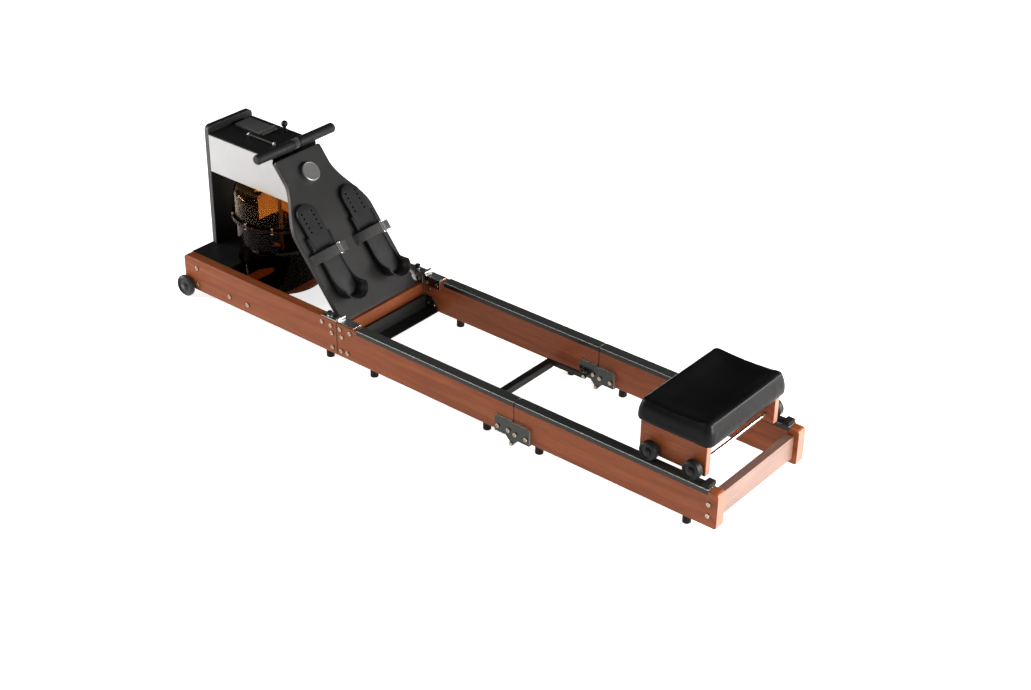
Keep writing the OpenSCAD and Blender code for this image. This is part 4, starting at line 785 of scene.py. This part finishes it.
class ROWER_OT_foot_panel(bpy.types.Operator):
    """Flared foot panel with its strap slots, foot rest guides and cover disc"""

    bl_idname = "rower.foot_panel"
    bl_label = "Foot panel"

    def execute(self, context):
        sizes, finish = values(context)
        board = Board(sizes)
        length, thick, edge, corner = sizes.board_length, sizes.board_thickness, 0.003, 0.008
        f = np.linspace(0, QUARTER, 5)
        inset = edge * (1 - np.sin(f))
        lift = edge * (1 - np.cos(f))
        first = np.concatenate([lift, np.linspace(edge, corner, 5)[1:]])
        t = np.concatenate([first, np.linspace(0.012, length - 0.012, 90), (length - first)[::-1]])
        inset = np.concatenate([inset, np.zeros(len(t) - 2 * len(inset)), inset[::-1]])
        flare_from, flare_to = 0.06, 0.236
        u = np.clip((t - flare_from) / (flare_to - flare_from), 0, 1)
        flare = u * u * (3 - 2 * u)
        half = sizes.board_top_width / 2 + (sizes.board_low_width - sizes.board_top_width) / 2 * flare
        near = np.minimum(t, length - t)
        half -= corner - np.sqrt(np.maximum(corner**2 - np.maximum(corner - near, 0) ** 2, 0))
        y, n = ring(2 * (half - inset), thick - 2 * inset, np.maximum(edge - inset, 0.0003), 4)
        grid = stack(t[:, None], y, n - thick / 2)
        piece = solid("foot_panel_board", [board(grid)], finish["panel"], smooth=28)
        slot, slot_side = (0.036, 0.005, 0.03), 0.0605
        slots = [
            board(slab(slot, (STRAP_AT, y + side * slot_side, 0), 0.0024, 0.0001))
            for y in (-sizes.rest_side, sizes.rest_side)
            for side in (-1, 1)
        ]
        cut(piece, slots)
        finished(piece, finish["panel"], "front_frame", 28)
        settled(piece, "grey_panel", "foot_panel")

        guides, bed, cheek, cheek_side = [], (0.222, 0.06, 0.0085), (0.05, 0.008, 0.017), 0.0424
        for y in (-sizes.rest_side, sizes.rest_side):
            guides.append(slab(bed, (0.281, y, 0.00375), 0.006, 0.0012))
            for side in (-1, 1):
                guides.append(slab(cheek, (0.273, y + side * cheek_side, 0.0077), 0.002, 0.0012))
        piece = solid("foot_rest_guides", [board(g) for g in guides], finish["rest"], "front_frame")
        settled(piece, "grey_panel", "foot_panel")

        disc_at = 0.07
        face = turned_face("Turned cover disc", (0.2, 0.2, 0.2), board([disc_at, 0, 0]), board.out)
        outline = fillet([
            (0, -0.0002), (0.031, -0.0002), (0.031, 0.0135, 0.0022), (0.0285, 0.015, 0.0008),
            (0.0265, 0.0146, 0.0005), (0, 0.0146),
        ], 5)
        disc = board(lathe(outline, (disc_at, 0, 0), segments=96))
        piece = solid("cover_disc_turned", [disc], face, "front_frame", wrap=True, smooth=30)
        settled(piece, "disc_grey", "cover_disc")
        return {"FINISHED"}


class ROWER_OT_foot_rests(bpy.types.Operator):
    """Sliding foot rests: a plate with two rows of holes and a heel cup with a rolled lip"""

    bl_idname = "rower.foot_rests"
    bl_label = "Foot rests"

    def execute(self, context):
        sizes, finish = values(context)
        board = Board(sizes)
        half, low, thick = sizes.rest_half, 0.0081, 0.007
        top, end, wall = 0.15, 0.462, 0.0046
        cup, cup_from, brim = end - half, 0.334, 0.004
        hole_at, hole_step, hole_row, hole_radius = 0.176, 0.015, 0.02, 0.0034
        for side, name in SIDES:
            y = side * sizes.rest_side
            size, middle = (end - top, 2 * half, thick), ((top + end) / 2, y, low + thick / 2)
            plate = slab(size, middle, half - 0.0005, 0.0016, 14)
            piece = solid("foot_plate_" + name, [board(plate)], finish["rest"])
            holes = []
            a = np.linspace(0, 2 * math.pi, 20, endpoint=False)
            for i in range(5):
                for row in (-1, 1):
                    t = hole_at + hole_step * i + hole_radius * np.cos(a)
                    across = y + row * hole_row + hole_radius * np.sin(a)
                    ends = (low - 0.002, low + thick + 0.002)
                    holes.append(board(np.stack([stack(t, across, n) for n in ends])))
            cut(piece, holes)
            finished(piece, finish["rest"], "rest_" + name, 30)
            settled(piece, "disc_grey", "foot_rest_" + name)

            line = np.linspace(cup_from, cup, 20)
            turn = np.linspace(-QUARTER, QUARTER, 40)[1:-1]
            r, straight = half - wall / 2, np.ones(len(line))
            t = np.concatenate([line, cup + r * np.cos(turn), line[::-1]])
            across = r * np.concatenate([-straight, np.sin(turn), straight])
            out_t = np.concatenate([0 * straight, np.cos(turn), 0 * straight])
            out_y = np.concatenate([-straight, np.sin(turn), straight])
            u = np.clip((t - cup_from) / (cup + 0.01 - cup_from), 0, 1)
            height = brim + (sizes.heel_height - brim) * u**5.5
            lip = 0.006 * u**2 + 0.012 * np.clip((t - cup) / r, 0, 1)
            v = np.linspace(0, 1, 10)
            cap, flat = np.linspace(0, math.pi, 9)[1:-1], np.ones(len(v))
            off = wall / 2 * np.concatenate([flat, np.cos(cap), -flat])
            share = np.concatenate([v, np.ones(len(cap)), v[::-1]])
            rise = wall / 2 * np.concatenate([0 * flat, np.sin(cap), 0 * flat])
            spread = off[None] + lip[:, None] * share[None] ** 3
            n = low + thick - 0.001 + share[None] * (height[:, None] - wall / 2) + rise[None]
            wall_y = y + across[:, None] + spread * out_y[:, None]
            grid = stack(t[:, None] + spread * out_t[:, None], wall_y, n)
            piece = solid("heel_cup_" + name, [board(grid)], finish["rest"], "rest_" + name, smooth=40)
            settled(piece, "disc_grey", "foot_rest_" + name)
        return {"FINISHED"}


class ROWER_OT_foot_straps(bpy.types.Operator):
    """Woven foot straps with their loose ends and wire buckles"""

    bl_idname = "rower.foot_straps"
    bl_label = "Foot straps"

    def execute(self, context):
        sizes, finish = values(context)
        board = Board(sizes)
        span, high, t = 0.064, sizes.strap_height, STRAP_AT
        radius = (span**2 + high**2) / (2 * high)
        end, lap_from, lap_end, lean = math.asin(span / radius), 0.46, 0.72, 0.42
        bed, sunk = high - radius, 0.0013
        for side, name in SIDES:
            y = side * sizes.rest_side
            a = np.linspace(-end - 0.08, end + 0.05, 60)
            arch = stack(t, y + radius * np.sin(a), bed + radius * np.cos(a) - sunk)
            band, uv = along(board(even(arch, 0.002)), board.down, sizes.strap_width, 0.0022, 0.0008)
            b = np.linspace(lap_from, lap_end, 12)
            reach = np.linspace(0, 0.03, 10)[1:]
            over = radius + 0.0024
            lap = stack(t, y + over * np.sin(b), bed + over * np.cos(b) - sunk)
            outward = lap[-1, 1] + reach * math.cos(lap_end) + 4 * reach**2
            tail = stack(t, outward, lap[-1, 2] - reach * math.sin(lap_end) * 0.55)
            end_path = board(even(np.vstack([lap, tail]), 0.002))
            loose, uv2 = along(end_path, board.down, sizes.strap_width - 0.001, 0.0018, 0.0007)
            bands, maps = [band, loose], [uv, uv2]
            piece = solid("foot_strap_" + name, bands, finish["strap"], "front_frame", uvs=maps, smooth=45)
            settled(piece, "webbing", "foot_straps")

            rise = radius + 0.001
            c = np.array([t, y + rise * math.sin(lean), bed + rise * math.cos(lean)])
            slope = np.array([0, math.cos(lean), -math.sin(lean)])
            ax, ay = ring(sizes.strap_width + 0.006, 0.017, 0.004, 5)
            loop = c + ax[0][:, None] * np.array([1, 0, 0]) + ay[0][:, None] * slope
            half = np.array([sizes.strap_width / 2 + 0.002, 0, 0])
            bar = c + np.linspace(-1, 1, 8)[:, None] * half + np.array([0, 0, 0.0012])
            parts = (("buckle_", loop, 0.0016, True), ("buckle_bar_", bar, 0.0014, False))
            for label, line, gauge, closed in parts:
                wire = [tube(board(line), gauge, closed)]
                piece = solid("foot_" + label + name, wire, finish["bright"], "front_frame", closed, 60)
                settled(piece, "steel", "strap_buckles")
        return {"FINISHED"}


class ROWER_OT_tank(bpy.types.Operator):
    """Clear amber water tank: tapered bowl, bolted flange and domed lid"""

    bl_idname = "rower.tank"
    bl_label = "Tank"

    def execute(self, context):
        finish = values(context)[1]
        bowl = fillet([
            (0, 0.05), (0.119, 0.05, 0.004), (0.127, 0.054, 0.004), (0.13, 0.064, 0.005),
            (0.131, 0.19, 0.008), (0.139, 0.205, 0.008), (0.139, 0.2735, 0.002), (0.15, 0.2752, 0.0012),
            (0.15, 0.281, 0.0012), (0.135, 0.281, 0.0012), (0.135, 0.207, 0.006), (0.127, 0.192, 0.006),
            (0.126, 0.066, 0.004), (0.123, 0.057, 0.003), (0.117, 0.054, 0.003), (0, 0.054),
        ], 7)
        lid = fillet([
            (0.15, 0.283, 0.0012), (0.15, 0.289, 0.0014), (0.1405, 0.2895, 0.0025), (0.14, 0.377, 0.026),
            (0.008, 0.3775, 0.0008), (0.008, 0.373, 0.0008), (0.136, 0.373, 0.022), (0.136, 0.283, 0.0008),
        ], 9)
        neck = fillet([(0.014, 0.366), (0.014, 0.378, 0.001), (0.0112, 0.378, 0.0008), (0.0112, 0.366)], 4)
        for name, outline, y, segments, tone, node in (
            ("tank_bowl_clear", bowl, 0, 128, "bowl", "tank_bowl"),
            ("tank_lid_clear", lid, 0, 128, "lid", "tank_lid"),
            ("tank_fill_neck", neck, 0.114, 40, "plastic", "tank_lid"),
        ):
            turned = lathe(outline, (TANK_X, y, 0), segments=segments)
            settled(solid(name, [turned], finish[tone], "front_frame", wrap=True), "tank_clear", node)
        return {"FINISHED"}


class ROWER_OT_pull_strap(bpy.types.Operator):
    """Pull strap from the spool under the rod, over the guide roller and round the handle"""

    bl_idname = "rower.pull_strap"
    bl_label = "Pull strap"

    def execute(self, context):
        sizes, finish = values(context)
        thick, width, segments = 0.0013, sizes.belt_width, 96
        axis = np.array([TANK_X, 0, 0.455])
        inner, outer, half = 0.0301, 0.0315, width / 2
        corners = (inner, -half), (outer, -half), (outer, half), (inner, half)
        coil = fillet([(*corner, 0.0003) for corner in corners], 3)
        around = lathe(coil, axis, segments=segments)
        a = np.linspace(0, 2 * math.pi, segments, endpoint=False)[:, None]
        coil_uv = stack((inner + outer) / 2 * a, coil[:, 1][None] + 0 * a)
        piece = solid("pull_strap_coil", [around], finish["belt"], "front_frame", wrap=True, uvs=[coil_uv])
        settled(piece, "webbing", "pull_strap")

        layer, mid = 0.0331, thick / 2
        rod, guide = np.array([FRONT + 0.300, 0.4618]), np.array([FRONT + 0.274, 0.519])
        bar = np.array([HANDLE_X, HANDLE_Z])
        r_rod, r_guide, r_bar, r_turn = 0.00605 + mid, 0.00705 + mid, 0.01105 + mid, 0.0144
        lean = math.asin(layer / (rod[0] - axis[0]))
        s = np.linspace(0, 1, 30)
        start = axis + layer * np.array([math.sin(lean), -math.cos(lean), 0])
        stop = np.array([rod[0], 0, rod[1] - r_rod])
        run = start + s[:, None] * (stop - start)
        twist = QUARTER * s * s * (3 - 2 * s)
        side = np.stack([-math.sin(lean) * np.sin(twist), math.cos(lean) * np.sin(twist), np.cos(twist)], -1)

        def arc(centre, radius, first, last, count):
            """Centre plus radius (cos a, sin a) in the middle plane, from the first angle to the last."""
            b = np.radians(np.linspace(first, last, count))
            return stack(centre[0] + radius * np.cos(b), 0 * b, centre[1] + radius * np.sin(b))

        d, e = guide - rod, bar - guide
        aim = math.degrees(math.atan2(d[1], d[0]) + math.asin((r_rod + r_guide) / np.hypot(*d)))
        climb = math.degrees(math.atan2(e[1], e[0]) + math.asin((r_turn - r_guide) / np.hypot(*e)))
        under = arc(rod, r_rod, -90, aim - 90, 14)
        over = arc(guide, r_guide, aim + 90, climb + 90, 18)
        loop = arc(bar, np.linspace(r_turn, r_bar, 130), climb + 90, climb - 650, 130)
        link = over[-1] + np.linspace(0, 1, 42)[1:-1, None] * (loop[0] - over[-1])
        path = np.vstack([run[:-1], under, over[1:], link, loop])
        sides = np.vstack([side[:-1], np.broadcast_to([0, 1.0, 0], (len(path) - len(side) + 1, 3))])
        band, uv = along(path, sides, width, thick, 0.0004)
        piece = solid("pull_strap_run", [band], finish["belt"], uvs=[uv], smooth=50)
        settled(piece, "webbing", "pull_strap")
        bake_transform(piece)
        return {"FINISHED"}


class ROWER_OT_handle(bpy.types.Operator):
    """Handle: two rubber grips with end caps on a dark bar"""

    bl_idname = "rower.handle"
    bl_label = "Handle"

    def execute(self, context):
        finish = values(context)[1]
        middle = (HANDLE_X, 0, HANDLE_Z)
        near, far, bar, grip = 0.0125, 0.158, 0.0109, 0.0155
        grips = []
        for side in (-1, 1):
            outline = fillet([
                (bar, side * near), (grip, side * near, 0.0022), (grip, side * far, 0.003), (bar, side * far)
            ], 6)
            grips.append(lathe(outline[::side], middle, axis=1, segments=56))
        settled(solid("handle_grips", grips, finish["grip"], "handle", wrap=True), "rubber", "handle_grip")
        outline = fillet([
            (0, -0.1602), (0.0132, -0.1602, 0.001), (0.0132, -0.1578), (0.011, -0.1578),
            (0.011, 0.1578), (0.0132, 0.1578), (0.0132, 0.1602, 0.001), (0, 0.1602),
        ], 4)
        dark = [lathe(outline, middle, axis=1, segments=56)]
        piece = solid("handle_bar_dark", dark, finish["plastic"], "handle", wrap=True)
        settled(piece, SLOTS["handle_bar"], "handle_bar")
        return {"FINISHED"}


class ROWER_OT_wheels(bpy.types.Operator):
    """Transport wheels and seat rollers with dished hubs"""

    bl_idname = "rower.wheels"
    bl_label = "Wheels and rollers"

    def execute(self, context):
        finish = values(context)[1]
        inner, outer = 0.2115, 0.2325
        tyre = fillet([
            (0.0051, inner), (0.0265, inner, 0.001), (0.029, inner + 0.0005, 0.001),
            (0.034, inner + 0.005, 0.003), (0.034, outer - 0.005, 0.003), (0.029, outer - 0.0005, 0.001),
            (0.0262, outer - 0.0005, 0.001), (0.0245, outer - 0.0045, 0.001),
            (0.0135, outer - 0.0045, 0.001), (0.0118, outer, 0.001), (0.0051, outer, 0.0004),
        ], 5)
        for side, name in SIDES:
            turned = lathe(tyre * (1, side), (FRONT + 0.012, 0, 0.0346), axis=1, segments=80)
            body = "wheel_" + name
            piece = solid("transport_tyre_" + name, [turned], finish["tyre"], body, wrap=True, smooth=30)
            settled(piece, "wheel_rubber", "transport_wheel_" + name)

        inner, outer = 0.181, 0.205
        roller = fillet([
            (0.00506, inner), (0.0238, inner, 0.001), (0.027, inner + 0.0032, 0.0024),
            (0.027, outer - 0.0032, 0.0024), (0.0238, outer, 0.0015), (0.0212, outer - 0.0002, 0.0008),
            (0.0198, outer - 0.0034, 0.0008), (0.0122, outer - 0.0034, 0.0008), (0.0112, outer, 0.0008),
            (0.00506, outer, 0.0004),
        ], 5)
        cap = fillet([
            (0, outer + 0.0003), (0.0098, outer + 0.0003, 0.0004), (0.0098, outer + 0.0028, 0.0012),
            (0.005, outer + 0.0044, 0.002), (0, outer + 0.0046),
        ], 5)
        for end, x in (("front", 1.77), ("rear", 1.905)):
            middle = (FRONT + x, 0, 0.16605)
            for side, name in SIDES:
                shapes = [lathe(shape * (1, side), middle, axis=1, segments=72) for shape in (roller, cap)]
                body, node = "roller_" + end[0] + name[0], f"seat_roller_{end}_{name}"
                piece = solid(node + "_tyre", shapes, finish["roller"], body, wrap=True, smooth=30)
                settled(piece, "roller_black", node)
        return {"FINISHED"}


def swell(piece, most, floor):
    """Pads a closed form as cloth blown up from inside: each point moves by what the cloth gives, at most
    `most`, and none below floor."""
    voxels = piece.modifiers.new("Even mesh", "REMESH")
    voxels.mode, voxels.voxel_size = "VOXEL", 0.005
    baked(piece)
    count = len(piece.data.vertices)
    start = np.zeros(count * 3, np.float32)
    piece.data.vertices.foreach_get("co", start)
    start = start.reshape(-1, 3)
    held = piece.vertex_groups.new(name="Held")
    held.add(np.flatnonzero(start[:, 2] < floor).tolist(), 1.0, "REPLACE")
    cloth = piece.modifiers.new("Padding", "CLOTH")
    cloth.settings.use_pressure, cloth.settings.uniform_pressure_force = True, 4
    cloth.settings.effector_weights.gravity = 0
    cloth.settings.vertex_group_mass = held.name
    last = 20
    cloth.point_cache.frame_start, cloth.point_cache.frame_end = 1, last
    scene = bpy.context.scene
    for number in range(1, last + 1):
        scene.frame_set(number)
    blown = piece.evaluated_get(bpy.context.evaluated_depsgraph_get()).data
    end = np.zeros(count * 3, np.float32)
    blown.vertices.foreach_get("co", end)
    move = end.reshape(-1, 3) - start
    reach = np.linalg.norm(move, axis=1, keepdims=True)
    move *= np.minimum(1, most / np.maximum(reach, 1e-9))
    piece.modifiers.clear()
    scene.frame_set(1)
    piece.data.vertices.foreach_set("co", (start + move).ravel())
    piece.vertex_groups.clear()
    skin = piece.modifiers.new("Even skin", "SMOOTH")
    skin.factor, skin.iterations = 0.5, 3
    fine = piece.modifiers.new("Fine skin", "SUBSURF")
    fine.levels = fine.render_levels = 1
    return baked(piece)


class ROWER_OT_seat(bpy.types.Operator):
    """Padded leather seat with its saddle hollow"""

    bl_idname = "rower.seat"
    bl_label = "Seat"

    def execute(self, context):
        """Rounded rectangles, drawn in by the inset of each height, with points on their sides too."""
        sizes, finish = values(context)
        long, wide, thick, dip = sizes.seat_length, sizes.seat_width, sizes.seat_thickness, sizes.seat_dip
        middle = np.array([FRONT + 1.8295, 0, 0.235])
        low, shoulder, lean, rise, corner = 0.006, 0.01, 0.0083, 0.004, 0.021
        f = np.linspace(0, 1, 16)
        g, q = f[1:], QUARTER * f[::2]
        reach = lean + shoulder
        underside = long / 2 * (1 - f[:-1]) + low * f[:-1], 0 * g
        lower_edge = low * (1 - np.sin(q)), low * (1 - np.cos(q))
        wall = lean * g**3, low + (thick - shoulder - low) * g
        upper_edge = lean + shoulder * (1 - np.cos(q[1:])), thick - shoulder * (1 - np.sin(q[1:]))
        top = reach + (long / 2 - 0.0005 - reach) * g, thick + 0 * g
        inset, height = (np.concatenate(part) for part in zip(underside, lower_edge, wall, upper_edge, top))
        from_rim = np.arange(len(height)) - len(height) + len(f)
        by_height, by_rim = 0.45, 0.55
        sink = by_height * (height / thick) ** 2 + by_rim * np.clip(from_rim / 7, 0, 1)
        inset, height, sink = inset[:, None], height[:, None], sink[:, None]
        across, back = long / 2 - inset, wide / 2 - inset
        bend = np.clip(corner - 0.6 * inset, 0.004, 0.9 * across)
        u, rows = np.linspace(0, 1, 14)[1:-1], len(inset)
        corners = (v.reshape(rows, 4, -1) for v in ring(2 * across[:, 0], 2 * back[:, 0], bend[:, 0], 10))
        x, y = (
            np.concatenate([c, c[..., -1:] * (1 - u) + np.roll(c, -1, 1)[..., :1] * u], -1).reshape(rows, -1)
            for c in corners
        )
        hollow = 1 - (2 * x / long) ** 2
        lift = rise * (height / thick) ** 2 * (x / long + 0.5) ** 2
        grid = stack(x, y, height + lift - dip * sink * hollow) + middle
        piece = solid("seat_cushion_leather", [grid], finish["leather"], smooth=60)
        swell(piece, sizes.seat_swell, middle[2] + 0.004)
        finished(piece, finish["leather"], "seat", 70)
        settled(piece, "cushion", "seat_cushion")
        return {"FINISHED"}


class ROWER_PT_panel(bpy.types.Panel):
    """Lists the machine's pieces and values"""

    bl_idname = "ROWER_PT_panel"
    bl_label = "Rowing machine"
    bl_space_type = "VIEW_3D"
    bl_region_type = "UI"
    bl_category = "Rower"

    def draw(self, context):
        for operator in OPERATORS:
            self.layout.operator(operator.bl_idname)
        for group in (context.scene.rower_sizes, context.scene.rower_colours):
            column = self.layout.column(align=True)
            for name in group.__annotations__:
                column.prop(group, name)


OPERATORS = (
    ROWER_OT_stage,
    ROWER_OT_timber,
    ROWER_OT_metalwork,
    ROWER_OT_housing,
    ROWER_OT_foot_panel,
    ROWER_OT_foot_rests,
    ROWER_OT_foot_straps,
    ROWER_OT_tank,
    ROWER_OT_pull_strap,
    ROWER_OT_handle,
    ROWER_OT_wheels,
    ROWER_OT_seat,
)
CLASSES = (RowerColours, RowerSizes, *OPERATORS, ROWER_PT_panel)


def register():
    for cls in CLASSES:
        bpy.utils.register_class(cls)
    bpy.types.Scene.rower_colours = bpy.props.PointerProperty(type=RowerColours)
    bpy.types.Scene.rower_sizes = bpy.props.PointerProperty(type=RowerSizes)


def unregister():
    del bpy.types.Scene.rower_sizes
    del bpy.types.Scene.rower_colours
    for cls in reversed(CLASSES):
        bpy.utils.unregister_class(cls)


def main():
    register()
    for operator in OPERATORS:
        group, name = operator.bl_idname.split(".")
        getattr(getattr(bpy.ops, group), name)()


if __name__ == "__main__":
    main()
